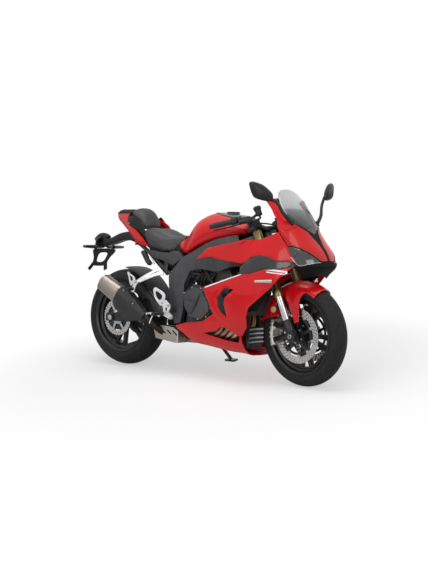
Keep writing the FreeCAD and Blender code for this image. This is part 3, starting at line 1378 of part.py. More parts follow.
def chain():
    """Roller chain as one closed loop: two rows of waisted side plates and their rollers."""
    rear = Vector(0, 0, d.rear_tyre_radius)
    front = FRONT_SPROCKET
    big = d.chain_pitch / 2 / math.sin(math.pi / d.rear_teeth)
    small = d.chain_pitch / 2 / math.sin(math.pi / d.front_teeth)
    span = front - rear
    base = math.degrees(math.atan2(span.z, span.x))
    lean = math.degrees(math.acos((big - small) / span.Length))

    def loop(grow):
        def at(centre, radius, angle):
            turn_to = math.radians(angle)
            return centre + Vector(math.cos(turn_to), 0, math.sin(turn_to)) * (radius + grow)
        top, low = base + lean, base - lean
        points = [at(rear, big, top), at(rear, big, base + 180), at(rear, big, low),
                  at(front, small, low), at(front, small, base), at(front, small, top)]
        edges = [Part.Arc(*points[:3]).toShape(), Part.LineSegment(points[2], points[3]).toShape(),
                 Part.Arc(*points[3:]).toShape(), Part.LineSegment(points[5], points[0]).toShape()]
        return Part.Face(Part.Wire(edges))

    half = float(d.chain_height) / 2
    band = loop(half).cut(loop(-half))
    strips = []
    for side in (-1, 1):
        y = d.chain_place + side * (d.strip_gap + d.strip_thickness) / 2 - d.strip_thickness / 2
        strips.append(band.translated(Vector(0, float(y), 0)).extrude(Vector(0, float(d.strip_thickness), 0)))
    rollers = []
    for lower in (-1, 1):
        turn_to = math.radians(base + lower * lean)
        side = Vector(math.cos(turn_to), 0, math.sin(turn_to))
        start, end = rear + side * big, front + side * small
        count = int((end - start).Length / d.chain_pitch)
        for k in range(4, count - 2, 8):
            at = start + (end - start) * ((k + 0.5) / count)
            rollers.append(Part.makeCylinder(4.5, d.strip_gap + 2,
                                             at + AXIS_Y * (d.chain_place - d.strip_gap / 2 - 1), AXIS_Y))
    solid_node("chain", strips[0].multiFuse([strips[1]] + rollers))


def rear_caliper():
    """Single-piston caliper over the rear disc, on a bracket round the axle."""
    item = new_body("rear_caliper")
    radius = d.rear_disc_radius
    body = [turned_corner(radius - 30, 20), turned_corner(radius - 30, 62), turned_corner(radius + 18, 58),
            turned_corner(radius + 18, 24)]
    pad(item, "XZ_Plane", 44, [body], lift=d.rear_disc_place)
    pocket(item, "XZ_Plane", d.disc_thickness + 11, circles=[(0, 0, radius + 6)],
           lift=d.rear_disc_place)
    bracket = [(-20, 20), (-20, -20), (30, -18), (100, 28), (80, 74), (38, 70)]
    place = d.arm_inside - 4 - d.seat_gap
    pad(item, "XZ_Plane", 8, [bracket], lift=place)
    pocket(item, "XZ_Plane", 16, circles=[(0, 0, d.axle_radius + d.seat_gap)], lift=place)
    node("rear_caliper", item, "chassis", rear_hub)


swingarm()
rear_axle()
shock_absorber()
rear_mudguard()
chain()
rear_caliper()


def footrests():
    """Rider's and passenger's footrest plates with their pegs and pedals."""
    plate = prism([(404, 535), (470, 520), (500, 490), (556, 440), (566, 340), (540, 330), (470, 346),
                   (430, 380), (440, 440)], -188, -180)
    bolts = [boss(529, 432, 155.6, 182, 9), boss(549, 347, 158, 182, 9)]
    peg = Part.makeCylinder(11, 92, Vector(470, -186, 395), -AXIS_Y)
    pedal = tube_path([Vector(440, -196, 360), Vector(560, -204, 318), Vector(640, -215, 322)], 6)
    toe = Part.makeCylinder(7, 40, Vector(640, -205, 322), -AXIS_Y)
    pivot = Part.makeCylinder(10, 20, Vector(470, -186, 352), -AXIS_Y)
    rider = plate.multiFuse(bolts + [peg, pedal, toe, pivot])
    hanger = prism([(340, 665), (420, 628), (410, 606), (320, 610), (262, 552), (250, 520), (230, 524),
                    (234, 566), (290, 640)], -188, -180)
    arm = prism([(330, 684), (352, 703), (405, 668), (425, 640), (415, 606), (335, 620)], -181,
                -RAIL_SIDE - RAIL_RADIUS - float(d.seat_gap))
    rest = Part.makeCylinder(10, 96, Vector(262, -186, 622), -AXIS_Y)
    lug = prism([(246, 600), (300, 600), (300, 640), (250, 636)], -188, -180)
    passenger = hanger.multiFuse([arm, rest, lug])
    solid_node("footrests", Part.makeCompound([rider, passenger, rider.mirror(Vector(0, 0, 0), AXIS_Y),
                                               passenger.mirror(Vector(0, 0, 0), AXIS_Y)]))


HANGER_HALF = 190


def plate_hanger():
    """Number plate bracket: arm, lamp housing, lamp rod and the plate's pierced holder."""
    cross_tube = 190 - RAIL_RADIUS - float(d.seat_gap)
    outline = [(10, 890), (cross_tube, 808), (cross_tube, 786), (39, 815), (-160, 792), (-200, 768),
               (-200, 832), (-120, 848)]
    housing = [(-192, 768), (-196, 832), (-240, 857), (-285, 852), (-312, 829), (-302, 780), (-262, 750)]
    arm = prism(outline, -22, 22).fuse(prism(housing, -40, 40))
    rod = Part.makeCylinder(7, 2 * HANGER_HALF, Vector(-247, -HANGER_HALF, 762), AXIS_Y)
    lean = 68 / 129

    def sheet_at(points):
        return Part.Face(polygon([(-247 + (z - 749) * lean, y, z) for y, z in points]))

    right = [(0, 752), (-60, 752), (-92, 758), (-104, 744), (-64, 690), (-62, 655), (-84, 616), (-68, 612),
             (-44, 646), (0, 646)]
    holder = sheet_at(right + [(-y, z) for y, z in reversed(right[1:-1])]).cut(
        sheet_at([(-50, 738), (50, 738), (42, 664), (-42, 664)]))
    normal = Vector(1, 0, -lean).normalize()
    plate = holder.extrude(normal * 9)
    for y in (-30, 30):
        at = Vector(-247 + (655 - 749) * lean, y, 655)
        plate = plate.cut(Part.makeCylinder(3.2, 40, at - normal * 20, normal))
    solid_node("plate_hanger", arm.multiFuse([rod, plate]))


def indicators():
    """Four direction lamps, two on the plate bracket and two on the fairing."""
    pieces = []
    for side in (-1, 1):
        pieces.append(Part.makeSphere(15, Vector(-247, side * (HANGER_HALF + 15 + d.seat_gap), 762)))
        skin = half_width(1325, 237.5) + d.seat_gap
        stalk = Part.makeCylinder(5, 30, Vector(1330, side * skin, 640), AXIS_Y * side)
        pieces.append(stalk.fuse(Part.makeSphere(14, Vector(1330, side * (skin + 34), 640))))
    solid_node("indicators", Part.makeCompound(pieces))


footrests()
plate_hanger()
indicators()
side_panels()


def side_stand():
    """Side stand, deployed: its eye, leg and foot, whose sole lies on the ground."""
    place, sole_point = stand_frame()
    ankle = place.inverse().multVec(bike.inverse().multVec(sole_point + AXIS_Z * 14))
    eye = Part.makeCylinder(19, STAND_EYE, Vector(0, 0, -STAND_EYE / 2))
    leg = Part.makeCylinder(d.stand_radius, ankle.x - 16, Vector(16, 0, STAND_EYE / 2 + 2), AXIS_X)
    bore = Part.makeCylinder(d.stand_pin + d.running_gap, 60, Vector(0, 0, -30))
    shape = eye.fuse(leg).cut(bore)
    shape.Placement = place
    sole = Part.makeBox(74, 46, 11, sole_point - Vector(37, 18, 0))
    sole.Placement = bike.inverse() * sole.Placement
    return solid_node("side_stand", shape.fuse(sole), "side_stand")


side_stand()

# Centre the parked bike on its own footprint.
doc.recompute()
box = FreeCAD.BoundBox()
for name, item, body in nodes:
    box.add(item.Shape.optimalBoundingBox())
centring = Placement(Vector(-box.Center.x, -box.Center.y, -box.ZMin), Rotation())
for name, item, body in nodes:
    item.Placement = centring * item.Placement
doc.recompute()

for item in doc.Objects:
    if "Invalid" in item.State or "Error" in item.State:
        raise RuntimeError(f"{item.Name} failed: {item.State}")
for name, item, body in nodes:
    if item.Shape.isNull() or not item.Shape.isValid():
        raise RuntimeError(f"{name} has no valid shape")

os.makedirs("parts", exist_ok=True)
for name, item, body in nodes:
    item.Shape.exportStep(f"parts/{name}.step")
print(len(nodes), "nodes,", [round(v) for v in (box.XLength, box.YLength, box.ZLength)])
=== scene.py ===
import json
import math

import bmesh
import bpy
import numpy as np
from mathutils import Matrix, Vector


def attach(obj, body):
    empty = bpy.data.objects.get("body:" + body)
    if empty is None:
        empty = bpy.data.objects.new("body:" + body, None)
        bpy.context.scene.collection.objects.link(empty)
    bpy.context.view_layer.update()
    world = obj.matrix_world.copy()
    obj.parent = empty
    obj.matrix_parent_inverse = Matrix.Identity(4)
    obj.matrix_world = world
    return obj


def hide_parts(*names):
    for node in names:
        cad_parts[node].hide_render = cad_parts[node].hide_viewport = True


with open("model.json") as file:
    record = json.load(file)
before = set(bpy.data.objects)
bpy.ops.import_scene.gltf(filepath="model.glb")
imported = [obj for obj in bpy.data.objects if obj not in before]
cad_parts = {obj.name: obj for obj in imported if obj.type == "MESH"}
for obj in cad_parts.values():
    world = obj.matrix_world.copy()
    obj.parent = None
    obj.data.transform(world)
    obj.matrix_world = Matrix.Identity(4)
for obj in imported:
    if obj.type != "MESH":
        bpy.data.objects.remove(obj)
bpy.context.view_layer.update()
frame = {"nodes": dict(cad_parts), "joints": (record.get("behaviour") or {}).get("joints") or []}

MM = 0.001
RAKE = math.radians(24.5)
FORK_AHEAD = 35
FRONT_RADIUS, REAR_RADIUS = 300, 315
LEFT, UP = (0, 1, 0), (0, 0, 1)


# Places: the bike, the fork and the two wheels, each with its own axes in the shared frame.
def unit(vector):
    """The vector over its own length."""
    vector = np.asarray(vector, float)
    return vector / np.linalg.norm(vector)


class Place:
    """Own axes of one part of the bike: millimetres along them become shared metres."""

    def __init__(self, origin, forward, left, up):
        self.origin = np.asarray(origin, float)
        self.axes = np.array([forward, left, up])

    def __call__(self, points):
        return self.origin + np.asarray(points, float) * MM @ self.axes

    def back(self, points):
        """Shared metres as the place's own millimetres."""
        return (points - self.origin) @ np.linalg.inv(self.axes) / MM


joints = {joint["name"]: joint for joint in frame["joints"]}
head_axis = unit(joints["steering_turn"]["axis"])
left = unit(joints["rear_wheel_spin"]["axis"])
across = unit(np.cross(left, head_axis))
forward = across * math.cos(RAKE) - head_axis * math.sin(RAKE)
upward = across * math.sin(RAKE) + head_axis * math.cos(RAKE)
rear_hub = np.array(joints["rear_wheel_spin"]["pos_m"])
front_hub = np.array(joints["front_wheel_spin"]["pos_m"])
fork_left = unit(joints["front_wheel_spin"]["axis"])
fork_forward = unit(np.cross(fork_left, head_axis))
BIKE = Place(rear_hub - upward * REAR_RADIUS * MM, forward, left, upward)
REAR_WHEEL = Place(rear_hub, forward, left, upward)
FRONT_WHEEL = Place(front_hub, fork_forward, fork_left, head_axis)
FORK = Place(front_hub - fork_forward * FORK_AHEAD * MM, fork_forward, fork_left, head_axis)


# Camera: the photograph's view of the bike, in the bike's own axes
IMAGE_HEIGHT = 571
FOCAL_PIXELS = 996.6
SENSOR = 36
CAMERA_AT = (4619.3, -4734.7, 794.1)
CAMERA_LOOK = (-0.63437, 0.77201, -0.0397)
CAMERA_UP = (-0.04385, 0.01534, 0.99892)


def add_camera():
    """Camera at the place and with the turn that the bike's outline in the photograph gives."""
    lens = bpy.data.cameras.new("camera")
    lens.sensor_width = SENSOR
    lens.lens = FOCAL_PIXELS / IMAGE_HEIGHT * SENSOR
    lens.clip_start, lens.clip_end = 0.1, 100
    camera = bpy.data.objects.new("camera", lens)
    bpy.context.scene.collection.objects.link(camera)
    look = unit(np.array(CAMERA_LOOK) @ BIKE.axes)
    right = unit(np.cross(look, np.array(CAMERA_UP) @ BIKE.axes))
    up = np.cross(right, look)
    turn = Matrix([[right[k], up[k], -look[k]] for k in range(3)]).to_4x4()
    camera.matrix_world = Matrix.Translation(Vector(BIKE(CAMERA_AT))) @ turn
    bpy.context.scene.camera = camera


add_camera()


# Shader formulas
def colour(red, green, blue):
    """Colour from its 0 to 255 screen values, as the linear light that a shader takes."""
    screen = np.array([red, green, blue]) / 255
    linear = np.where(screen <= 0.04045, screen / 12.92, ((screen + 0.055) / 1.055) ** 2.4)
    return (*linear.tolist(), 1.0)


def toned(shade, share, lift=0.0):
    """Colour times a share and plus a lift, 1 at most."""
    return tuple(min(part * share + lift, 1) for part in shade[:3]) + (1,)


class Value:
    """A socket of a finish; sums, products, the largest, size (no sign) and square root of patterns read as
    plain formulas."""

    def __init__(self, finish, socket):
        self.finish, self.socket = finish, socket

    def maths(self, operation, *others):
        """One Math node on the value and what else the operation takes."""
        return self.finish.node("Math", {"operation": operation}, dict(enumerate((self, *others))))

    def __add__(self, other):
        return self.maths("ADD", other)

    def __sub__(self, other):
        return self.maths("SUBTRACT", other)

    def __mul__(self, other):
        return self.maths("MULTIPLY", other)

    def __rsub__(self, other):
        return (self * -1).maths("ADD", other)

    __radd__, __rmul__ = __add__, __mul__

    def step(self, low, high):
        """0 below low, 1 above high and a smooth rise between."""
        return self.finish.node("MapRange", {"interpolation_type": "SMOOTHSTEP"},
                                {"Value": self, "From Min": low, "From Max": high})

    def largest(self, other):
        return self.maths("MAXIMUM", other)

    def size(self):
        return self.maths("ABSOLUTE")

    def root(self):
        return self.maths("SQRT")

    def off_middle(self):
        """Distance of the value's fraction from 0.5."""
        return (self.maths("FRACT") - 0.5).size()


class Finish:
    """One procedural material, or the nodes of the world that is handed in."""

    def __init__(self, name, world=None):
        self.data = world or bpy.data.materials.new(name)
        self.data.use_nodes = True
        self.tree = self.data.node_tree
        self.tree.nodes.clear()

    def node(self, kind, settings=(), sockets=(), output=0):
        """Any shader node: its settings, then the values or links of its sockets."""
        made = self.tree.nodes.new("ShaderNode" + kind)
        for key, value in dict(settings).items():
            setattr(made, key, value)
        for key, value in dict(sockets).items():
            if isinstance(value, Value):
                self.tree.links.new(value.socket, made.inputs[key])
            else:
                made.inputs[key].default_value = value
        return Value(self, made.outputs[output])

    def place(self):
        """Point of the surface in the shared frame, in metres."""
        return self.node("TexCoord", output="Object")

    def along(self, place, axis):
        """Millimetres along one axis of a place: 0 forward, 1 left, 2 up."""
        direction = place.axes[axis]
        dot = self.node("VectorMath", {"operation": "DOT_PRODUCT"},
                        {0: self.place(), 1: tuple(direction)}, "Value")
        return (dot - float(place.origin @ direction)) * 1000

    def noise(self, scale, detail=3.0, stretch=(1, 1, 1), place=BIKE):
        """Noise of so many bumps in a metre, drawn out along the place's axes."""
        parts = [self.along(place, axis) * (scale * MM * share) for axis, share in enumerate(stretch)]
        where = self.node("CombineXYZ", sockets=dict(enumerate(parts)))
        return self.node("TexNoise", sockets={"Vector": where, "Scale": 1.0, "Detail": detail,
                                              "Roughness": 0.55}, output="Fac")

    def grain(self, scale, detail=3.0):
        """Even noise of so many bumps in a metre."""
        return self.node("TexNoise", sockets={"Vector": self.place(), "Scale": scale, "Detail": detail},
                         output="Fac")

    def cells(self, scale, feature):
        """Distance in a pattern of cells, so many in a metre."""
        return self.node("TexVoronoi", {"feature": feature}, {"Vector": self.place(), "Scale": scale},
                         "Distance")

    def mix(self, mask, below, above):
        """Colour below where the mask is 0 and above where it is 1."""
        return self.node("Mix", {"data_type": "RGBA"}, {0: mask, 6: below, 7: above}, output=2)

    def bump(self, height, depth, strength):
        """Relief from a pattern of 0 to 1, so many millimetres deep."""
        return self.node("Bump", sockets={"Height": height, "Distance": depth * MM, "Strength": strength},
                         output="Normal")

    def end(self, kind, shader):
        """Output node, fed by the last shader."""
        output = self.tree.nodes.new("ShaderNode" + kind)
        self.tree.links.new(shader.socket, output.inputs["Surface"])
        return self.data

    def done(self, **sockets):
        """Surface of the finish, by plain names for the Principled sockets."""
        names = {"colour": "Base Color", "rough": "Roughness", "metal": "Metallic", "coat": "Coat Weight",
                 "coat_rough": "Coat Roughness", "relief": "Normal", "alpha": "Alpha",
                 "shine": "Specular IOR Level"}
        sockets = {names[key]: value for key, value in sockets.items()}
        return self.end("OutputMaterial", self.node("BsdfPrincipled", sockets=sockets))


# Marks on the paint and the chamber, and painted shade on the chamber's link pipe, in millimetres of the bike
RED, DEEP_RED = colour(202, 8, 18), colour(182, 5, 14)
WHITE, BLACK, CAP_BLACK = colour(236, 236, 238), colour(15, 15, 17), colour(26, 26, 27)
# The second colour on the next line is painted shade: the dark grey-brown of the link pipe, which lies in the
# shadow between frame and chamber.
SLOT_BLACK, PAINTED_PIPE_SHADE = colour(14, 13, 13), colour(44, 40, 37)
FAIRING_STRIPES = (((846, 549), (1120, 637), 7), ((1283, 671), (1440, 658), 9), ((1300, 655), (1418, 645), 6))
STRIPE_EDGE = 0.6
STRIP_FOOT, STRIP_HALF, STRIP_SLOPE = 690, 9, 0.07
STRIP_BENDS = ((812, 0.42), (884, 1.1))
CHIN_TOP, CHIN_SLOPE = 725, 0.06
CHAMBER_SLOTS = (((425, 264), (456, 242)), ((468, 265), (502, 241)), ((513, 264), (551, 236)))
SLOT_WIDTH = 10
CHAMBER_SIDE, LINK_PIPE_SIDE = -131, -134
TAIL_CAP_LOW, SEAT_GAP_LOW, SEAT_GAP_HALF, SEAT_GAP_REAR = 989, 940, 104, 88


def line_mask(finish, start, end, width):
    """1 inside a straight stripe seen from the side, from start to end (x, z), so many millimetres wide."""
    (x1, z1), (x2, z2) = start, end
    length = math.hypot(x2 - x1, z2 - z1)
    dx, dz = (x2 - x1) / length, (z2 - z1) / length
    x, z = finish.along(BIKE, 0) - x1, finish.along(BIKE, 2) - z1
    on = x * dx + z * dz
    off = (x * -dz + z * dx).size()
    ends = on.step(-STRIPE_EDGE, STRIPE_EDGE) * (1 - on.step(length - STRIPE_EDGE, length + STRIPE_EDGE))
    return ends * (1 - off.step(width / 2 - 0.5, width / 2 + 0.5))


def fairing_stripes(finish, shade):
    """White stripes; no part of the paint is dull."""
    for stripe in FAIRING_STRIPES:
        shade = finish.mix(line_mask(finish, *stripe), shade, WHITE)
    return shade, None


def nose_strip(finish, shade):
    """Black strip down the middle of the nose, its half width a sum of slopes that begin at three heights,
    and the black chin, below a line that falls to the sides."""
    ahead, height = finish.along(BIKE, 0), finish.along(BIKE, 2)
    beside = finish.along(BIKE, 1).size()
    half = (height - STRIP_FOOT) * STRIP_SLOPE + STRIP_HALF
    for start, slope in STRIP_BENDS:
        half = half + (height - start).largest(0) * slope
    inside = (half - beside).step(-0.8, 0.8) * ahead.step(1280, 1290)
    chin = 1 - (height + beside * CHIN_SLOPE).step(CHIN_TOP, CHIN_TOP + 1.5)
    dark = inside.largest(chin * ahead.step(1396, 1398))
    return finish.mix(dark, shade, BLACK), dark


def chamber_slots_and_pipe_shade(finish, shade):
    """Dark slots in the chamber's right side, and painted shade: the link pipe further out is darkened, as if
    in the shadow in the gap between frame and chamber.
    """
    out = finish.along(BIKE, 1)
    right = 1 - out.step(CHAMBER_SIDE, CHAMBER_SIDE + 1)
    for start, end in CHAMBER_SLOTS:
        shade = finish.mix(line_mask(finish, start, end, SLOT_WIDTH) * right, shade, SLOT_BLACK)
    # Painted shade: the steel further out than the link pipe's side is darkened to a grey-brown, the shadow
    # between frame and chamber.
    return finish.mix(1 - out.step(LINK_PIPE_SIDE, LINK_PIPE_SIDE + 1), shade, PAINTED_PIPE_SHADE)


def tail_cap(finish, shade):
    """Black top of the tail, above a line that falls forward, and the black between the seats' sides."""
    ahead = finish.along(BIKE, 0)
    height = finish.along(BIKE, 2) + ahead * 0.02
    beside = finish.along(BIKE, 1).size()
    inner = (1 - beside.step(SEAT_GAP_HALF, SEAT_GAP_HALF + 2)) * ahead.step(SEAT_GAP_REAR, SEAT_GAP_REAR + 2)
    dark = height.step(TAIL_CAP_LOW, TAIL_CAP_LOW + 2).largest(
        inner * height.step(SEAT_GAP_LOW, SEAT_GAP_LOW + 2))
    return finish.mix(dark, shade, CAP_BLACK), dark


def red_paint(name, marks=None):
    """Clear-coated red, a little deeper in broad patches, with its marks; the dull ones have no coat."""
    finish = Finish(name)
    shade = finish.mix(finish.grain(2.2, 2).step(0.35, 0.7), RED, DEEP_RED)
    rough, coat = finish.grain(9, 2) * 0.08 + 0.3, 0.4
    if marks:
        shade, dull = marks(finish, shade)
        if dull:
            rough, coat = rough + dull * 0.35, coat - dull * coat
    return finish.done(colour=shade, rough=rough, coat=coat, coat_rough=0.04, shine=0.15,
                       relief=finish.bump(finish.grain(700, 1), 0.02, 0.2))


HOLE_RINGS, HOLE_RING_STEP, HOLE_RING_TURN = 3, 11, 0.33
HOLE_EDGE = (3.4, 4.2)


def drilled(name, place, inner, count):
    """Ground steel disc with rings of holes, each ring a little further round, cut through by alpha."""
    finish = Finish(name)
    ahead, over = finish.along(place, 0), finish.along(place, 2)
    reach = (ahead * ahead + over * over).root()
    turn = finish.node("Math", {"operation": "ARCTAN2"}, {0: over, 1: ahead}) * (count / (2 * math.pi))
    holes = None
    for row in range(HOLE_RINGS):
        middle = inner + HOLE_RING_STEP * row
        around = (turn + row * HOLE_RING_TURN).maths("FRACT") - 0.5
        around = around * (2 * math.pi * middle / count)
        away = (around * around + (reach - middle) * (reach - middle)).root()
        hole = 1 - away.step(*HOLE_EDGE)
        holes = hole if holes is None else holes.largest(hole)
    rings = (reach * 0.9).off_middle()
    shade = finish.mix(rings.step(0.05, 0.45), colour(158, 156, 154), colour(206, 204, 202))
    return finish.done(colour=shade, rough=rings * 0.2 + 0.22, metal=1.0, alpha=1 - holes,
                       relief=finish.bump(rings, 0.04, 0.5))


def moulded(name, shade, rough, grain_depth=0.12, scale=1300, coat=0.0, shine=0.4):
    """Moulded plastic with a fine leather-like grain and faint polish marks."""
    finish = Finish(name)
    base = finish.mix(finish.grain(14, 3), shade, toned(shade, 1.35, 0.002))
    return finish.done(colour=base, rough=finish.grain(30, 2) * 0.14 + (rough - 0.07), coat=coat,
                       coat_rough=0.06, shine=shine,
                       relief=finish.bump(finish.cells(scale, "SMOOTH_F1"), grain_depth, 0.5))


def cast_metal(name, shade, rough=0.45, metal=0.6, depth=0.15):
    """Painted or bare casting: fine sand texture and slightly uneven sheen."""
    finish = Finish(name)
    base = finish.mix(finish.grain(25, 4).step(0.3, 0.75), shade, toned(shade, 1.3, 0.003))
    return finish.done(colour=base, rough=finish.grain(40, 3) * 0.2 + (rough - 0.1), metal=metal,
                       relief=finish.bump(finish.grain(900, 2), depth, 0.35))


def brushed(name, shade, rough, place, stretch, tint=None, depth=0.03):
    """Bare metal with fine lines along one axis of a place."""
    finish = Finish(name)
    lines = finish.noise(900, 3, stretch, place)
    base = finish.mix(lines.step(0.2, 0.8), toned(shade, 0.82), shade)
    if tint:
        base = tint(finish, base)
    return finish.done(colour=base, rough=lines * 0.16 + (rough - 0.08), metal=1.0,
                       relief=finish.bump(lines, depth, 0.4))


def tyre_rubber():
    """Black rubber, greyer and duller in fine patches."""
    finish = Finish("tyre_rubber")
    dust = finish.grain(60, 5).step(0.4, 0.75)
    base = finish.mix(dust, colour(13, 13, 14), colour(25, 25, 26))
    return finish.done(colour=base, rough=finish.grain(90, 4) * 0.22 + 0.6, shine=0.3,
                       relief=finish.bump(finish.grain(1500, 2), 0.1, 0.4))


SEAM_WIDTH, SEAM_DEPTH = 5.0, 6


def seat_leather(name, shade, seams=()):
    """Embossed seat cover: small cells with soft creases, and sewn seams pulled in along lines (x, z)."""
    finish = Finish(name)
    creases = finish.grain(45, 5)
    base = finish.mix(creases.step(0.35, 0.8), shade, toned(shade, 1.5, 0.004))
    height = finish.cells(420.0, "DISTANCE_TO_EDGE").step(0, 0.25) * 0.7 + creases * 0.6
    sewn = None
    for seam in seams:
        mask = line_mask(finish, *seam, SEAM_WIDTH)
        sewn = mask if sewn is None else sewn.largest(mask)
    if sewn:
        height = height - sewn * SEAM_DEPTH
        base = finish.mix(sewn, base, colour(12, 12, 13))
    return finish.done(colour=base, rough=creases * 0.2 + 0.42, relief=finish.bump(height, 0.35, 0.6))


def lens(name, shade, rough=0.04):
    """Glossy coated cover with upright flutes, a little paler in each."""
    finish = Finish(name)
    flutes = finish.noise(160, 1, (1, 1, 0.1))
    return finish.done(colour=finish.mix(flutes.step(0.3, 0.7), shade, toned(shade, 1.4, 0.004)),
                       rough=finish.grain(20, 2) * 0.03 + rough, coat=1.0, coat_rough=0.02)


def screen_plastic():
    """Smoked clear plastic, darker towards its base: the shade is 1 less two rises over the height."""
    finish = Finish("screen_plastic")
    height = finish.along(BIKE, 2)
    dark = 1 - (height.step(905, 1075) * 0.6 + height.step(1006, 1022) * 0.4)
    tone = finish.mix(dark, colour(120, 124, 126), colour(12, 13, 15))
    return finish.done(colour=tone, rough=finish.grain(30, 2) * 0.02 + 0.05, alpha=dark * 0.45 + 0.4,
                       coat=0.5, coat_rough=0.03)


def heat_tint(finish, base):
    """Blue-brown tint of heated steel, in broad clouds along the pipe."""
    return finish.mix(finish.noise(7, 2).step(0.4, 0.65), base, colour(122, 84, 58))


EVEN = (1, 1, 1)
RIDER_SEAMS = (((246, 846), (353, 806)), ((353, 806), (500, 828)))

FINISHES = {
    "red": red_paint("red_paint"),
    "red_striped": red_paint("red_paint_striped", fairing_stripes),
    "red_nose": red_paint("red_paint_nose", nose_strip),
    "red_tail": red_paint("red_paint_tail", tail_cap),
    "front_disc": drilled("front_disc_steel", FRONT_WHEEL, 130, 44),
    "rear_disc": drilled("rear_disc_steel", REAR_WHEEL, 94, 34),
    "moulded_dark": moulded("controls_black", colour(14, 14, 15), 0.42, shine=0.3),
    "cover_metal": cast_metal("cover_metal", colour(40, 41, 44), 0.42, 0.3, 0.08),
    "caliper": cast_metal("caliper_grey", colour(198, 196, 192), 0.36, 0.55, 0.05),
    "amber": moulded("amber_reflector", colour(176, 112, 52), 0.3, 0.02, coat=1.0),
    "lamp_edge": moulded("lamp_edge", colour(176, 182, 186), 0.2, 0.01, coat=1.0),
    "rider_cover": seat_leather("rider_cover", colour(35, 34, 34), RIDER_SEAMS),
    "pillion_cover": seat_leather("pillion_cover", colour(38, 38, 39)),
    "tyre": tyre_rubber(),
    "gloss_black": moulded("gloss_black", colour(8, 8, 9), 0.24, 0.01, coat=0.5),
    "matt_black": moulded("matt_black", colour(26, 26, 28), 0.5),
    "vent_black": moulded("vent_black", colour(5, 5, 5), 0.72, shine=0.12),
    "dark_metal": cast_metal("dark_metal", colour(52, 52, 54), 0.5, 0.2),
    "black_metal": cast_metal("black_metal", colour(24, 24, 26), 0.36, 0.3, 0.06),
    "engine_grey": cast_metal("engine_grey", colour(58, 59, 61), 0.48, 0.4),
    "aluminium": cast_metal("aluminium", colour(206, 206, 208), 0.42, 0.7, 0.05),
    "steel": brushed("steel", colour(176, 177, 180), 0.3, BIKE, EVEN),
    "chain_steel": brushed("chain_steel", colour(104, 100, 94), 0.4, BIKE, EVEN),
    "can_steel": brushed("can_steel", colour(150, 143, 138), 0.42, BIKE, (0.05, 1, 1)),
    "header_steel": brushed("header_steel", colour(168, 150, 130), 0.32, BIKE, (1, 1, 0.2), heat_tint),
    "chrome": brushed("chrome", colour(196, 196, 200), 0.16, FORK, (1, 1, 0.02), depth=0.004),
    "gold": brushed("gold", colour(140, 122, 88), 0.36, FORK, (1, 1, 0.03), depth=0.01),
    # The chamber's marks include painted shade on the link pipe.
    "chamber_steel": brushed("chamber_steel", colour(164, 156, 150), 0.4, BIKE, (0.08, 1, 1), chamber_slots_and_pipe_shade),
    "smoked": lens("smoked_lens", colour(13, 15, 17), 0.1),
    "red_lens": lens("red_lens", colour(120, 8, 10)),
    "clear_lens": lens("clear_lens", colour(158, 154, 146), 0.12),
    "screen": screen_plastic(),
    "grip": moulded("grip_rubber", colour(22, 22, 23), 0.62, 0.3, 420),
}

SLOTS = {
    "tyre": "tyre", "black_rim": "black_metal", "disc_steel": "front_disc rear_disc", "gold": "gold",
    "chrome": "chrome", "dark_metal": "dark_metal", "engine_grey": "engine_grey cover_metal",
    "aluminium": "aluminium caliper", "silencer_steel": "can_steel", "header_steel": "header_steel",
    "axle_steel": "steel", "grip_rubber": "grip", "red_panel": "red", "gloss_black": "gloss_black",
    "matt_black": "matt_black moulded_dark vent_black", "seat_cover": "rider_cover pillion_cover",
    "clear_lens": "clear_lens lamp_edge amber",
}

DRESS = {
    "black_metal": "front_rim rear_rim swingarm yokes side_stand fork_feet",
    "chain_steel": "chain",
    "steel": "rear_sprocket front_axle rear_axle shock_absorber",
    "gold": "fork_tubes",
    "chrome": "fork_stanchions",
    "dark_metal": "frame side_panels engine_covers",
    "engine_grey": "engine radiator",
    "aluminium": "rear_caliper",
    "chamber_steel": "exhaust_chamber",
    "can_steel": "silencer",
    "header_steel": "exhaust_headers",
    "grip": "handlebars",
    "red": "side_fairings belly_pan front_mudguard fuel_tank",
    "red_striped": "lower_fairings",
    "red_nose": "nose_cowl",
    "red_tail": "tail_cowl",
    "gloss_black": "fairing_wings tank_cover",
    "matt_black": "seat_tray rear_mudguard instruments silencer_shield",
    "vent_black": "inner_panels",
    "smoked": "headlamps",
    "screen": "windscreen",
    "red_lens": "tail_lamp",
}

WELD_REACH = 0.02
EDGE_ROUND, EDGE_ANGLE = 0.8, 32
UNROUNDED = "windscreen"


def dress(node, finish):
    """CAD node kept as it is, with its finish, joined shading and softly rounded edges."""
    item = frame["nodes"][node]
    item.data.materials.clear()
    item.data.materials.append(FINISHES[finish])
    for polygon in item.data.polygons:
        polygon.material_index = 0
        polygon.use_smooth = True
    if node == UNROUNDED:
        return
    weld = item.modifiers.new("weld", "WELD")
    weld.merge_threshold = WELD_REACH * MM
    rounding = item.modifiers.new("round_edges", "BEVEL")
    rounding.width = EDGE_ROUND * MM
    rounding.segments = 2
    rounding.limit_method = "ANGLE"
    rounding.angle_limit = math.radians(EDGE_ANGLE)
    rounding.harden_normals = True
    rounding.use_clamp_overlap = True


for finish_name, nodes in DRESS.items():
    for node_name in nodes.split():
        dress(node_name, finish_name)


# Surfaces: a shape is its points, in millimetres of a place, and its faces.
def sheet(grid, around=False):
    """Surface through a grid of points; around joins the last column to the first."""
    rows, columns = grid.shape[:2]
    row, column = np.meshgrid(np.arange(rows - 1), np.arange(columns - (not around)), indexing="ij")
    after = (column + 1) % columns
    corners = [row * columns + column, row * columns + after, (row + 1) * columns + after,
               (row + 1) * columns + column]
    return grid.reshape(-1, 3), np.stack(corners, -1).reshape(-1, 4)


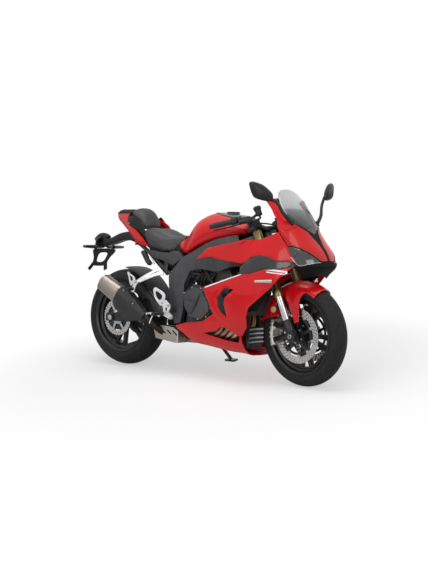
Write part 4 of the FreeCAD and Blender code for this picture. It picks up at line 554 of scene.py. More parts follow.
def joined(*shapes):
    """Several shapes as one."""
    starts = np.cumsum([0] + [len(points) for points, _ in shapes[:-1]])
    return (np.concatenate([points for points, _ in shapes]),
            np.concatenate([faces + start for (_, faces), start in zip(shapes, starts)]))


def moved(shape, step):
    """The shape shifted by a step."""
    return shape[0] + step, shape[1]


def turned(shape, axis, angle):
    """The shape turned by an angle in degrees about an axis through 0."""
    matrix = np.array(Matrix.Rotation(math.radians(angle), 3, Vector(axis)))
    return shape[0] @ matrix.T, shape[1]


def mirrored(shape, sides=(1, -1, 1)):
    """The same shape on the other side of the bike, its faces turned outwards again."""
    return shape[0] * sides, shape[1][:, ::-1]


def both(shape):
    """The shape on both sides of the bike."""
    return joined(shape, mirrored(shape))


def ring_of(shape, count, first=0.0):
    """Equal copies round the wheel's axle."""
    return joined(*[turned(shape, LEFT, first + 360 * k / count) for k in range(count)])


def through(points, count):
    """Catmull-Rom curve: it passes each point with a slope of half the step between its neighbours."""
    points = np.asarray(points, float)
    at = np.linspace(0, len(points) - 1, count)
    before = np.minimum(at.astype(int), len(points) - 2)
    share = (at - before)[:, None]
    padded = np.concatenate([2 * points[:1] - points[1:2], points, 2 * points[-1:] - points[-2:-1]])
    a, b, c, d = (padded[before + k] for k in range(4))
    return 0.5 * (2 * b + (c - a) * share + (2 * a - 5 * b + 4 * c - d) * share ** 2
                  + (3 * b - a - 3 * c + d) * share ** 3)


def oval(width, height, power=2.0, sides=24):
    """Closed outline |2x/width|^power + |2y/height|^power = 1."""
    turn = np.linspace(0, 2 * np.pi, sides, endpoint=False)
    cosine, sine = np.cos(turn), np.sin(turn)
    return np.stack([width / 2 * np.sign(cosine) * np.abs(cosine) ** (2 / power),
                     height / 2 * np.sign(sine) * np.abs(sine) ** (2 / power)], -1)


def carried(path, profile, scale=1.0, reference=UP, capped=True):
    """Closed outline carried along a path, square to it, with its size scaled from point to point. Its width
    lies square to the reference, or with none to the axis that the path follows least."""
    path = np.asarray(path, float)
    along = np.gradient(path, axis=0)
    along /= np.linalg.norm(along, axis=1, keepdims=True)
    if reference is None:
        reference = np.eye(3)[np.abs(along).max(0).argmin()]
    beside = np.cross(along, reference)
    beside /= np.linalg.norm(beside, axis=1, keepdims=True)
    over = np.cross(beside, along)
    scale = np.asarray(scale, float)
    scale = scale[:, None] if scale.ndim == 1 else scale
    scale = np.broadcast_to(scale, (len(path), 2))
    rings = (path[:, None] + beside[:, None] * (profile[None, :, 0] * scale[:, :1])[..., None]
             + over[:, None] * (profile[None, :, 1] * scale[:, 1:])[..., None])
    if capped:
        ends = np.broadcast_to(path[[0, -1]][:, None], (2, len(profile), 3))
        rings = np.concatenate([ends[:1], rings, ends[1:]])
    return sheet(rings, True)


def bar(points, count, section, scale=1.0, reference=UP):
    """Oval section, as width, height, power and sides, carried along the smooth curve through some points."""
    return carried(through(points, count), oval(*section), scale, reference)


def tube(points, radius, count=24, sides=12):
    """Round tube along the smooth curve through some points."""
    return bar(points, count, (2 * radius, 2 * radius, 2, sides), 1, None)


def revolved(profile, sides=96):
    """Outline of (radius, place along the axle) turned about the axle; zero radii close at a pole."""
    profile = np.asarray(profile, float)
    turn = np.linspace(0, 2 * np.pi, sides, endpoint=False)
    radius, place = profile[:, :1], np.broadcast_to(profile[:, 1:], (len(profile), sides))
    return sheet(np.stack([radius * np.cos(turn), place, radius * np.sin(turn)], -1), True)


def ring(inner, outer, low, high, sides=96):
    """Flat ring round the axle with a small chamfer on its edges."""
    edge = min(0.8, (outer - inner) / 4, (high - low) / 4)
    return revolved([(inner, low + edge), (inner + edge, low), (outer - edge, low), (outer, low + edge),
                     (outer, high - edge), (outer - edge, high), (inner + edge, high), (inner, high - edge),
                     (inner, low + edge)], sides)


def button(radius, height, sides=20, dip=0.0):
    """Round bolt head or cap that stands on y = 0 and rises along the axle, with a rounded rim."""
    edge = min(radius, height) * 0.3
    return revolved([(0, 0), (radius, 0), (radius, height - edge), (radius - edge * 0.3, height - edge * 0.3),
                     (radius - edge, height), (radius * 0.5, height), (radius * 0.45, height - dip),
                     (0, height - dip)], sides)


def screw(x, y, z, radius=6, height=5):
    """Screw head that stands out from the right side of the bike."""
    return moved(turned(button(radius, height, 16, 2), UP, 180), (x, y, z))


def outlined(corners, count):
    """Closed outline through corners, as so many points spread evenly along it."""
    corners = np.asarray(list(corners) + [corners[0]], float)
    length = np.concatenate([[0], np.cumsum(np.linalg.norm(np.diff(corners, axis=0), axis=1))])
    at = np.linspace(0, length[-1], count, endpoint=False)
    return np.stack([np.interp(at, length, corners[:, k]) for k in range(corners.shape[1])], -1)


def rounded(corners, rounds=2):
    """Closed outline with its corners cut at a fifth of each side, over and over."""
    points = np.asarray(corners, float)
    for _ in range(rounds):
        after = np.roll(points, -1, 0)
        cut = np.stack([points * 0.8 + after * 0.2, points * 0.2 + after * 0.8], 1)
        points = cut.reshape(-1, points.shape[1])
    return points


PLATE_EDGE = 0.8
PLATE_POINTS = 160


def pierced_plate(outer, inner, low, high):
    """Plate in the (x, z) plane between an outer and an inner outline, from y low to y high, edges broken."""
    outer, inner = (outlined(rounded(corners), PLATE_POINTS) for corners in (outer, inner))
    start = np.linalg.norm(inner - outer[0], axis=1).argmin()
    inner = np.roll(inner, -start, 0)
    share = PLATE_EDGE / np.linalg.norm(outer - inner, axis=1).clip(3)[:, None]
    outer_edge, inner_edge = outer + (inner - outer) * share, inner + (outer - inner) * share
    loops = [(outer, low + PLATE_EDGE), (outer_edge, low), (inner_edge, low), (inner, low + PLATE_EDGE),
             (inner, high - PLATE_EDGE), (inner_edge, high), (outer_edge, high), (outer, high - PLATE_EDGE),
             (outer, low + PLATE_EDGE)]
    return sheet(np.stack([np.insert(line, 1, y, axis=1) for line, y in loops]), True)


def plate(outline, low, high):
    """Solid plate in the (x, z) plane, of an outline that its middle sees all round, edges broken."""
    outer = outlined(rounded(outline), PLATE_POINTS)
    middle = outer.mean(0)
    inset = outer + (middle - outer) * (PLATE_EDGE / np.linalg.norm(middle - outer, axis=1).clip(3)[:, None])
    loops = [(middle, low), (inset, low), (outer, low + PLATE_EDGE), (outer, high - PLATE_EDGE),
             (inset, high), (middle, high)]
    grid = np.stack([np.insert(np.broadcast_to(line, outer.shape), 1, y, axis=1) for line, y in loops])
    return sheet(grid, True)


DOUBLES_REACH = 0.002
SHARP_ANGLE = 38


def piece(name, shape, finish, body="chassis", replaces=(), place=BIKE):
    """Blender object of a shape: doubles merged, faces turned outwards, smooth but for sharp edges."""
    points, faces = shape
    mesh = bpy.data.meshes.new(name)
    mesh.from_pydata(place(points).tolist(), [], faces.tolist())
    work = bmesh.new()
    work.from_mesh(mesh)
    bmesh.ops.remove_doubles(work, verts=work.verts, dist=DOUBLES_REACH * MM)
    bmesh.ops.dissolve_degenerate(work, edges=work.edges, dist=DOUBLES_REACH * MM / 2)
    bmesh.ops.recalc_face_normals(work, faces=work.faces)
    work.to_mesh(mesh)
    work.free()
    mesh.polygons.foreach_set("use_smooth", np.ones(len(mesh.polygons), bool))
    mesh.set_sharp_from_angle(angle=math.radians(SHARP_ANGLE))
    mesh.materials.append(FINISHES[finish])
    item = bpy.data.objects.new(name, mesh)
    bpy.context.scene.collection.objects.link(item)
    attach(item, body)
    next(slot for slot, finishes in SLOTS.items() if finish in finishes.split())
    if replaces:
        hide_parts(*replaces)
    return item


# Wheels
CROWN_EDGE = 262
TREAD_SUNK = 1.2
GROOVES, GROOVE_DEPTH, GROOVE_EDGE = 14, 3.2, 1.2
GROOVE_HALVES, GROOVE_STARTS, GROOVE_REACHES = (5.0, 3.4), (7, 24), (1, 0.8)
GROOVE_LEANS, GROOVE_SHIFTS = (0.0052, -0.0022), (0, 0.3)
TYRE_COLUMNS = 960
OFF_TREAD = 1000.0


def tyre_shape(radius, width, bead, reach):
    """Torus of the tyre's section: a round crown, short sidewalls and beads at half width bead. Grooves, out
    to reach, sink the crown near slanting lines, each at a turn of lean |way across| + shift from its start."""
    crown = radius - CROWN_EDGE
    crown = (crown ** 2 + (width / 2) ** 2) / (2 * crown) - TREAD_SUNK
    spread = math.asin(width / 2 / (crown + TREAD_SUNK))
    bend = np.linspace(-spread, spread, 57)
    tread = np.stack([radius - TREAD_SUNK - crown * (1 - np.cos(bend)), crown * np.sin(bend)], -1)
    side = np.array([(256, width / 2 - 0.6), (248, width / 2 - 3), (240, (width / 2 + bead) / 2),
                     (234, bead + 3), (229, bead), (222, bead - 3), (218, bead - 12)])
    section = np.concatenate([side[::-1] * (1, -1), tread, side])
    turn = np.linspace(0, 2 * np.pi, TYRE_COLUMNS, endpoint=False)
    off = np.full(len(side), OFF_TREAD)
    way = np.concatenate([-off, bend * crown, off])[:, None]
    step = 2 * np.pi / GROOVES
    lines = np.stack([turn + np.abs(way).clip(0, reach) * lean + step * shift + (way > 0) * step / 2
                      for lean, shift in zip(GROOVE_LEANS, GROOVE_SHIFTS)])
    away = np.abs((lines / step + 0.5) % 1 - 0.5) * step * radius
    half, start, stop = (np.array(values)[:, None, None]
                         for values in (GROOVE_HALVES, GROOVE_STARTS, np.multiply(GROOVE_REACHES, reach)))
    depth = (((half - away) / GROOVE_EDGE + 0.5).clip(0, 1) * ((np.abs(way) - start) / 5).clip(0, 1)
             * ((stop - np.abs(way)) / 6).clip(0, 1)).max(0) * GROOVE_DEPTH
    rim = section[:, :1] - depth
    grid = np.stack([rim * np.cos(turn), np.broadcast_to(section[:, 1:], rim.shape), rim * np.sin(turn)], -1)
    return sheet(np.concatenate([grid, grid[:1]]), True)


def dress_tyres():
    """Grooved tyres of both wheels."""
    front = tyre_shape(FRONT_RADIUS, width=120, bead=50, reach=50)
    rear = tyre_shape(REAR_RADIUS, width=180, bead=76, reach=78)
    piece("front_tread", front, "tyre", "front_wheel", ["front_tyre"], FRONT_WHEEL)
    piece("rear_tread", rear, "tyre", "rear_wheel", ["rear_tyre"], REAR_WHEEL)


def dress_front_discs():
    """On each side of the wheel a drilled band on a five-armed carrier, with its lugs and bolts."""
    def add(name, shape, finish, replaces=()):
        """Piece in the front wheel's place, riding it."""
        piece(name, shape, finish, "front_wheel", replaces, FRONT_WHEEL)

    add("front_disc_bands", both(ring(122, 160, 59.5, 64.5, 160)), "front_disc", ["front_discs"])
    arm = bar([(38, 62, 0), (70, 64, 5), (104, 62, 14)], 12, (22, 7, 4), np.linspace(1, 0.62, 12), LEFT)
    carrier = joined(ring(98, 112, 59, 65, 120), ring(24, 52, 56, 68, 60), ring_of(arm, 5, 10))
    add("front_disc_carriers", both(carrier), "black_metal")
    lug = joined(ring(0.1, 10, 59.5, 65.5, 20), ring(0.1, 5.5, 58.5, 67, 16))
    add("front_disc_lugs", both(ring_of(moved(lug, (117, 0, 0)), 10)), "steel")
    bolt = moved(turned(button(5.5, 6, 14, 2), UP, 180), (42, -68, 0))
    add("front_disc_bolts", both(ring_of(bolt, 5, 46)), "steel")


def dress_rear_disc():
    """Drilled band on its six-armed carrier, and the flange behind it."""
    def add(name, shape, finish, replaces=()):
        """Piece in the rear wheel's place, riding it."""
        piece(name, shape, finish, "rear_wheel", replaces, REAR_WHEEL)

    add("rear_disc_band", ring(88, 120, -101.5, -96.5, 140), "rear_disc", ["rear_disc"])
    arm = bar([(34, -99, 0), (60, -99, 4), (92, -99, 8)], 10, (20, 5, 4), np.linspace(1, 0.7, 10), LEFT)
    add("rear_disc_carrier", joined(ring(28, 46, -103, -95, 60), ring_of(arm, 6)), "steel")
    add("rear_hub_flange", ring(19, 84, -93, -89, 100), "black_metal")


dress_tyres()
dress_front_discs()
dress_rear_disc()


# Nose: the cowl's outside as a surface, for what lies on it
NOSE_POWER = 2.3
NOSE_LEVELS = np.array([(600, 1478, 1290, 236), (650, 1522, 1290, 236), (690, 1566, 1290, 233),
                        (720, 1561, 1290, 230), (750, 1549, 1288, 226), (800, 1515, 1280, 216),
                        (850, 1475, 1262, 205), (888, 1449, 1245, 199), (930, 1428, 1232, 189),
                        (980, 1398, 1220, 176), (1030, 1360, 1208, 169), (1080, 1312, 1196, 163),
                        (1140, 1250, 1180, 150)], float)
LAMP_LOW = [(-200, 742), (-184, 697), (-150, 703), (-104, 713), (-74, 714)]
LAMP_TOP = [(-203, 786), (-185, 805), (-150, 789), (-110, 758), (-66, 722)]
LAMP_BOWLS = [(-160, 746), (-112, 735)]
CHEEK = [(-164, 1060), (-150, 1058), (-146, 1000), (-139, 958), (-116, 926), (-112, 915), (-160, 892),
         (-184, 886), (-181, 908), (-170, 950), (-165, 1005)]
CHEEK_PROUD, CHEEK_THICK = 3, 2.4


def on_nose(points, proud=0.0):
    """Points (y, z) put on the cowl, of which NOSE_LEVELS has z, tip, wide and full half width:
    ((x - wide) / (tip - wide))^2.3 + |y / full|^2.3 = 1 at each height."""
    y, z = np.asarray(points, float).T
    tip, wide, full = (np.interp(z, NOSE_LEVELS[:, 0], NOSE_LEVELS[:, k]) for k in (1, 2, 3))
    tip, full = tip + proud, full + proud
    share = (np.abs(y) / full).clip(0, 0.999)
    return np.stack([wide + (tip - wide) * (1 - share ** NOSE_POWER) ** (1 / NOSE_POWER), y, z], -1)


def laid_panel(outline, proud, thick):
    """Panel on the cowl: its outline (y, z) drawn in to its middle ring by ring and laid on the surface."""
    edge = outlined(outline, 120)
    middle = edge.mean(0)
    flat = middle + (edge - middle) * np.linspace(1, 0, 14)[:, None, None]
    skin, under = (on_nose(flat.reshape(-1, 2), lift).reshape(flat.shape[:2] + (3,))
                   for lift in (proud, proud - thick))
    return sheet(np.concatenate([skin[::-1], under]), True)


def dress_nose():
    """Strips over the seams, cheeks beside the screen, and the lamps' light edges, brows and inner bowls."""
    seam = bar([(1340, -177, 884), (1384, -180, 836), (1408, -181, 808)], 24, (36, 3, 4, 16), 1, LEFT)
    piece("seam_covers", both(seam), "red")
    piece("screen_cheeks", both(laid_panel(CHEEK, CHEEK_PROUD, CHEEK_THICK)), "red")
    light = carried(on_nose(through(LAMP_LOW, 30), 1.2), oval(5, 3, 3, 10))
    brow = carried(on_nose(through(LAMP_TOP, 30), 1.0), oval(5, 4, 3, 10))
    piece("lamp_light_edges", both(light), "lamp_edge")
    piece("lamp_brows", both(brow), "gloss_black")
    bowl = revolved([(0, 0), (12, 1), (22, 6), (25, 12), (27, 12), (27, 0), (0, -2)], 32)
    bowl = turned(turned(bowl, UP, -90), LEFT, 8)
    piece("lamp_bowls", both(joined(*[moved(bowl, at) for at in on_nose(LAMP_BOWLS, -26)])), "cover_metal")


dress_nose()


# Seats
VOXEL = 6
CLOTH_PRESSURE, CLOTH_FRAMES = 4, 20
SWELL_CAP = 4
PILLION_ROWS = [(84, 62, 966, 988, 1000), (94, 78, 950, 986, 1014), (114, 88, 938, 984, 1026),
                (138, 90, 926, 968, 1028), (163, 88, 914, 944, 1018), (186, 84, 905, 922, 994),
                (203, 79, 900, 909, 956), (213, 71, 898, 905, 924), (217, 60, 898, 904, 910)]


def swollen(item, mesh):
    """Points of the mesh blown up by cloth pressure: each moves cap tanh(way / cap) along its way."""
    start = np.empty(len(mesh.vertices) * 3)
    mesh.vertices.foreach_get("co", start)
    cloth = item.modifiers.new("cloth", "CLOTH")
    cloth.settings.use_pressure, cloth.settings.uniform_pressure_force = True, CLOTH_PRESSURE
    cloth.settings.effector_weights.gravity = 0
    cloth.point_cache.frame_start, cloth.point_cache.frame_end = 1, CLOTH_FRAMES
    for step in range(1, CLOTH_FRAMES + 1):
        bpy.context.scene.frame_set(step)
    blown = item.evaluated_get(bpy.context.evaluated_depsgraph_get()).to_mesh()
    end = np.empty(len(start))
    blown.vertices.foreach_get("co", end)
    item.modifiers.clear()
    bpy.context.scene.frame_set(1)
    move = (end - start).reshape(-1, 3)
    far = np.linalg.norm(move, axis=1, keepdims=True).clip(1e-9)
    return start.reshape(-1, 3) + move / far * np.tanh(far / (SWELL_CAP * MM)) * SWELL_CAP * MM


def cushion(name, shape, finish, node):
    """Seat pad: the shape is remeshed, swollen and smoothed, so that the foam's edge rounds over and the
    cover swells between its seams."""
    item = piece(name, shape, finish, replaces=[node])
    remesh = item.modifiers.new("remesh", "REMESH")
    remesh.mode, remesh.voxel_size = "VOXEL", VOXEL * MM
    mesh = bpy.data.meshes.new_from_object(item.evaluated_get(bpy.context.evaluated_depsgraph_get()))
    item.modifiers.clear()
    item.data = mesh
    mesh.vertices.foreach_set("co", swollen(item, mesh).ravel())
    mesh.polygons.foreach_set("use_smooth", np.ones(len(mesh.polygons), bool))
    mesh.materials.clear()
    mesh.materials.append(FINISHES[finish])
    even = item.modifiers.new("even", "SMOOTH")
    even.factor, even.iterations = 0.5, 6
    finer = item.modifiers.new("finer", "SUBSURF")
    finer.levels = finer.render_levels = 1


def pad_shape(rows, sides=64, count=40):
    """Sections across the seat: x, half width, and lowest, widest and highest height; the top is a flat arch
    and the underside a box with round corners."""
    x, half, low, edge, high = through(rows, count).T[:, :, None]
    turn = np.linspace(0, 2 * np.pi, sides, endpoint=False)[None]
    cosine, sine = np.cos(turn), np.sin(turn)
    y = half * np.sign(cosine) * np.abs(cosine) ** 0.82
    z = np.where(sine > 0, edge + (high - edge) * np.abs(sine) ** 0.9,
                 edge - (edge - low) * np.abs(sine) ** 0.55)
    grid = np.stack([np.broadcast_to(x, z.shape), y, z], -1)
    ends = np.broadcast_to(grid.mean(1, keepdims=True)[[0, -1]], (2, sides, 3))
    return sheet(np.concatenate([ends[:1], grid, ends[1:]]), True)


def node_shape(node):
    """A CAD node's own points, in millimetres of the bike, and its triangles."""
    mesh = frame["nodes"][node].data
    points = np.empty(len(mesh.vertices) * 3)
    mesh.vertices.foreach_get("co", points)
    faces = np.empty(len(mesh.loops), int)
    mesh.loops.foreach_get("vertex_index", faces)
    return BIKE.back(points.reshape(-1, 3)), faces.reshape(-1, 3)


cushion("pillion_pad", pad_shape(PILLION_ROWS), "pillion_cover", "pillion_seat")
cushion("rider_pad", node_shape("rider_seat"), "rider_cover", "rider_seat")


# Small parts of the nose, tail and bars
def domed(outline, centre, facing, depth):
    """Mirror head or lamp body: an outline (sideways, up) drawn in towards its middle as it domes forward,
    with a short rim and a flat back."""
    facing = unit(facing)
    side = unit(np.cross(UP, facing))
    up = np.cross(facing, side)
    edge = outlined(rounded(outline), 72)
    middle = edge.mean(0)
    out = np.array([0, 0.4, 0.72, 0.9, 0.975, 1.0, 1.0, 0.96, 0.9, 0])[:, None, None]
    front = np.array([1.0, 0.95, 0.74, 0.46, 0.2, 0.0, -0.2, -0.3, -0.26, -0.26])[:, None, None]
    flat = middle + (edge - middle) * out
    grid = np.asarray(centre, float) + flat[..., :1] * side + flat[..., 1:] * up + front * depth * facing
    return sheet(grid, True)


MIRROR_OUTLINE = np.array([(-84, 46), (-68, -6), (-48, -38), (26, -52), (78, -50), (78, -8), (10, 38),
                           (-56, 53)])
MIRRORS = (((1318, -325, 1100), 1.01), ((1342, 312, 1134), 1.08))
MIRROR_TURN = 0.3


def dress_mirrors():
    """Domed heads swept back at their outer ends, their glasses, and curved stalks with collars."""
    shapes, glasses = [], []
    for centre, grow in MIRRORS:
        centre = np.array(centre)
        side = np.sign(centre[1])
        facing = unit((math.cos(MIRROR_TURN), side * math.sin(MIRROR_TURN), 0.05))
        foot = on_nose([(side * 128, 935)], 3)[0]
        stalk = [foot, (1372, side * 190, 985), (1352, side * 226, 1044), centre + (2, -side * 48, -34)]
        shapes += [domed(MIRROR_OUTLINE * (-side * grow, grow), centre, facing, 22),
                   bar([foot - (4, 0, 2), foot + (5, side * 4, 5)], 4, (34, 24, 2.4, 24), 1, None),
                   bar(stalk, 26, (24, 17, 2, 14), np.linspace(1.1, 0.8, 26), None)]
        glasses.append(domed(MIRROR_OUTLINE * (side * grow, grow) * 0.86, centre - facing * 6, -facing, 1.4))
    piece("mirror_heads", joined(*shapes), "moulded_dark", replaces=["mirrors"])
    piece("mirror_glasses", joined(*glasses), "chrome")


def blade(tip, root, thick, deep):
    """Slim indicator: an oval whose depth falls by 0.55 and thickness by 0.35 from root to rounded tip."""
    share = np.linspace(0, 1, 18)
    taper = np.stack([1.2 - 0.55 * share ** 2, 1 - 0.35 * share], -1)
    taper = taper * np.where(share > 0.97, 0.6, 1)[:, None]
    return bar([root, (np.asarray(root, float) + tip) / 2, tip], 18, (deep, thick, 2.2, 18), taper)


def dress_indicators():
    """Front blades on the fairing, and rear blades on stalks from the plate hanger."""
    rear = blade((-243, -188, 771), (-238, -80, 770), 28, 34)
    stalk = tube([(-238, -90, 770), (-240, -30, 770)], 10, 6)
    piece("front_indicators", both(blade((1254, -286, 601), (1330, -226, 604), 22, 34)), "clear_lens",
          replaces=["indicators"])
    piece("rear_indicators", both(joined(rear, stalk)), "gloss_black")


LAMP_HOUSING = [(-62, 8), (-56, 30), (-30, 40), (30, 40), (56, 30), (62, 8), (54, -34), (-54, -34)]
PLATE_FRAME = [(-106, 746), (-92, 760), (92, 760), (106, 746), (66, 694), (64, 644), (-64, 644), (-66, 694)]
PLATE_WINDOW = [(-48, 736), (48, 736), (38, 668), (-38, 668)]
HOLDER_X, HOLDER_TOP, HOLDER_LEAN = -240, 749, 0.527


def dress_hanger():
    """Plate hanger: a channel-shaped arm, the rounded lamp housing with its hood, and the forked plate
    holder, drawn flat across the bike and laid on a plane that leans."""
    deep = np.interp(np.arange(36), [0, 7, 14, 22, 35], [0.6, 0.9, 1.05, 0.95, 0.75])
    arm = bar([(164, 0, 797), (90, 0, 826), (20, 0, 846), (-60, 0, 838), (-140, 0, 812), (-226, 0, 798)], 36,
              (74, 56, 5, 28), np.stack([np.linspace(1.1, 0.8, 36), deep], -1))
    housing = domed(LAMP_HOUSING, (-258, 0, 800), (-1, 0, 0.35), 26)
    hood = bar([(-206, 0, 812), (-232, 0, 822), (-262, 0, 818), (-286, 0, 796)], 20, (96, 52, 3, 28),
               np.linspace(0.8, 1.0, 20), LEFT)
    leg = bar([(-56, 4.5, 660), (-66, 4.5, 640), (-78, 4.5, 618)], 8, (26, 9, 5, 16), 1, LEFT)
    flat, faces = joined(pierced_plate(PLATE_FRAME, PLATE_WINDOW, 0, 9), leg, mirrored(leg, (-1, 1, 1)))
    sideways, thick, height = flat.T
    holder = np.stack([HOLDER_X + (height - HOLDER_TOP) * HOLDER_LEAN + thick, sideways,
                       height - thick * 0.5], -1), faces
    piece("plate_holder", joined(arm, housing, hood, holder), "moulded_dark", replaces=["plate_hanger"])


GRIP_INNER, GRIP_OUTER = np.array([8, -232, 728.0]), np.array([-72, -346, 735.0])
RESERVOIR = np.array([138, -151, 704.0])
RESERVOIR_PROFILE = [(0, 0), (15, 0), (19, 4), (19, 34), (22, 35), (22, 40), (23, 41), (23, 50), (20, 54),
                     (9, 54), (8, 52), (0, 52)]
GRIP_RIBS = 14


def dress_controls():
    """Ribbed grips with bar ends, levers with ball ends, switches, the round reservoir and the cables."""
    along = unit(GRIP_OUTER - GRIP_INNER)
    ahead = unit((0.6, -0.42, -0.62))
    pivot = GRIP_INNER - along * 34 + ahead * 34
    lever = bar([pivot + ahead * 2, pivot + ahead * 24 + along * 36, pivot + ahead * 33 + along * 96,
                 pivot + ahead * 31 + along * 150, pivot + ahead * 33 + along * 168], 40, (13, 11, 2.4, 14),
                np.interp(np.linspace(0, 1, 40), [0, 0.2, 0.9, 0.97, 1], [1.2, 1.0, 0.72, 1.1, 0.9]))
    clamp = bar([GRIP_INNER - along * 46, GRIP_INNER - along * 20], 6, (46, 42, 3, 28), 1, None)
    master = bar([pivot - along * 34 + ahead * 2, pivot + along * 16], 8, (27, 24, 2.6, 20), 1, None)
    switch = bar([GRIP_INNER - along * 18, GRIP_INNER + along * 16], 8, (42, 46, 3.4, 28),
                 [0.86, 0.97, 1, 1, 1, 0.97, 0.9, 0.8])
    turns = np.linspace(0, 1, 57)
    grip = carried(GRIP_INNER + np.outer(12 + turns * 116, along), oval(33, 33, 2, 24),
                   1 + 0.035 * np.cos(turns * 2 * np.pi * GRIP_RIBS) - 0.08 * (turns > 0.97))
    end = carried(GRIP_OUTER - along * 14 + np.outer([0, 4, 12, 17, 19], along), oval(30, 30, 2, 20),
                  [1, 1, 0.95, 0.8, 0.5])
    piece("grips", both(grip), "grip", "steering", place=FORK)
    piece("bar_ends", both(end), "black_metal", "steering", place=FORK)
    pot = moved(turned(revolved(RESERVOIR_PROFILE, 40), (1, 0, 0), 90), RESERVOIR)
    hose = tube([RESERVOIR + (0, 0, 4), RESERVOIR + (-6, -4, -18), pivot + (18, 20, -10),
                 pivot + (4, 10, -4)], 6, 20)
    stay = bar([pivot + (4, 8, 2), (pivot + RESERVOIR) / 2 + (6, 0, -2), RESERVOIR + (-12, -4, 12)], 12,
               (7, 16, 4, 14))
    controls = joined(both(joined(lever, clamp, master, switch)), pot, hose, stay)
    piece("levers_and_reservoir", controls, "moulded_dark", "steering", ["hand_controls"], FORK)
    cables = [tube([(-8, -150, 726), (40, -120, 700), (96, -60, 668), (120, 0, 640)], 4.5, 30, 10),
              tube([(-8, 150, 726), (44, 124, 704), (96, 60, 672), (118, 6, 640)], 4.5, 30, 10)]
    piece("bar_cables", joined(*cables), "grip", "steering", place=FORK)


dress_mirrors()
dress_indicators()
dress_hanger()
dress_controls()


# Sides: footrests, exhaust, covers, skirts and brakes, the right side first and then its mirror image
HEEL, HEEL_HOLE = ([(398, 517), (415, 532), (501, 494), (500, 458), (470, 408), (411, 461)],
                   [(416, 500), (428, 509), (478, 483), (476, 466), (455, 448), (430, 462)])
STAY, STAY_HOLE = ([(470, 436), (500, 458), (541, 430), (545, 405), (528, 384), (566, 356), (556, 334),
                    (482, 360), (490, 400)], [(506, 410), (522, 408), (520, 388), (506, 386)])
HANGER, HANGER_HOLE = ([(186, 622), (206, 610), (252, 586), (262, 556), (226, 528), (214, 540), (204, 580)],
                       [(206, 600), (236, 586), (242, 566), (222, 556)])
FOOTREST_SCREWS = ((532, -196, 422, 8), (554, -196, 348, 8), (482, -196, 436, 7), (262, -211, 556, 7),
                   (232, -213, 500, 7))


def dress_footrests():
    """Pierced heel plate, its stay, the peg, the brake pedal and the forked pillion hanger."""
    pedal = bar([(470, -206, 352), (448, -212, 366), (420, -214, 368), (396, -216, 366)], 20, (13, 9, 3, 14),
                1, LEFT)
    toe = bar([(398, -212, 368), (398, -250, 366)], 8, (12, 12, 2, 14))
    rod = tube([(424, -213, 366), (408, -214, 338), (393, -215, 304)], 4, 12)
    upper = bar([(386, -136, 640), (352, -160, 616), (308, -184, 588), (262, -200, 552), (240, -206, 512),
                 (236, -208, 492)], 40, (21, 12, 4, 16),
                np.interp(np.linspace(0, 1, 40), [0, 0.15, 0.5, 0.8, 1], [1.15, 0.9, 0.85, 1.25, 1.3]), LEFT)
    lower = bar([(430, -136, 617), (388, -158, 607), (340, -180, 586), (284, -198, 560)], 30, (20, 12, 4, 16),
                np.linspace(1.2, 0.9, 30), LEFT)
    plates = joined(pierced_plate(HEEL, HEEL_HOLE, -194, -188), pierced_plate(STAY, STAY_HOLE, -196, -186),
                    pierced_plate(HANGER, HANGER_HOLE, -212, -204), pedal, toe, rod, upper, lower)
    peg = bar([(484, -196, 372), (484, -226, 371), (484, -262, 370), (484, -284, 370)], 24, (26, 20, 3, 20),
              1 + 0.06 * np.cos(np.linspace(0, 12 * np.pi, 24)))
    rear_peg = bar([(238, -212, 512), (242, -240, 512), (246, -276, 510)], 16, (24, 20, 3, 20),
                   np.linspace(1.1, 0.85, 16))
    piece("footrest_plates", both(plates), "aluminium", replaces=["footrests"])
    piece("footrest_pegs", both(joined(peg, rear_peg)), "grip")
    piece("footrest_screws", both(joined(*[screw(*at) for at in FOOTREST_SCREWS])), "steel")


CAN_AXIS = unit((-166, -14, 94))
CAN_FRONT, CAN_LENGTH = np.array([126, -208, 466.0]), 160
CAN_OUTLINE = rounded([(0.5, 0.26), (0.28, 0.5), (-0.28, 0.5), (-0.5, 0.26), (-0.5, -0.26), (-0.28, -0.5),
                       (0.28, -0.5), (0.5, -0.26)], 1)
CAN_SIZES = [(44, 44), (46, 50), (90, 112), (96, 122), (94, 107), (86, 98)]
SHIELD_SCREWS = ((152, -252, 508), (196, -247, 500), (266, -234, 420))


def dress_exhaust():
    """Eight-sided silencer can behind the shield's edge, its mouth and bands, and the shield's screws."""
    tail = CAN_FRONT + CAN_AXIS * CAN_LENGTH
    path = np.stack([(326, -186, 340), CAN_FRONT - CAN_AXIS * 16, CAN_FRONT - CAN_AXIS * 8, CAN_FRONT, tail,
                     tail + CAN_AXIS * 5])
    mouth = carried(tail + np.outer([3, 6, 9], CAN_AXIS) + (0, 8, 0), oval(40, 40, 2, 28), [1, 1, 0.9])
    band = carried(CAN_FRONT + np.outer([2, 4, 12, 14], CAN_AXIS), CAN_OUTLINE * (99, 125))
    lip = carried(tail + np.outer([-12, -10, -2, 0], CAN_AXIS), CAN_OUTLINE * (96.5, 110))
    piece("silencer_can", carried(path, CAN_OUTLINE, CAN_SIZES), "can_steel", replaces=["silencer"])
    piece("silencer_mouth", mouth, "vent_black")
    piece("silencer_bands", joined(band, lip), "can_steel")
    piece("silencer_screws", joined(*[screw(*at, 5, 3) for at in SHIELD_SCREWS]), "steel")


COVER_OUTLINE = np.array([(632, 508), (717, 560), (782, 540), (850, 452), (857, 402), (792, 340), (700, 350),
                          (640, 420)])
COVER_FACE = -187


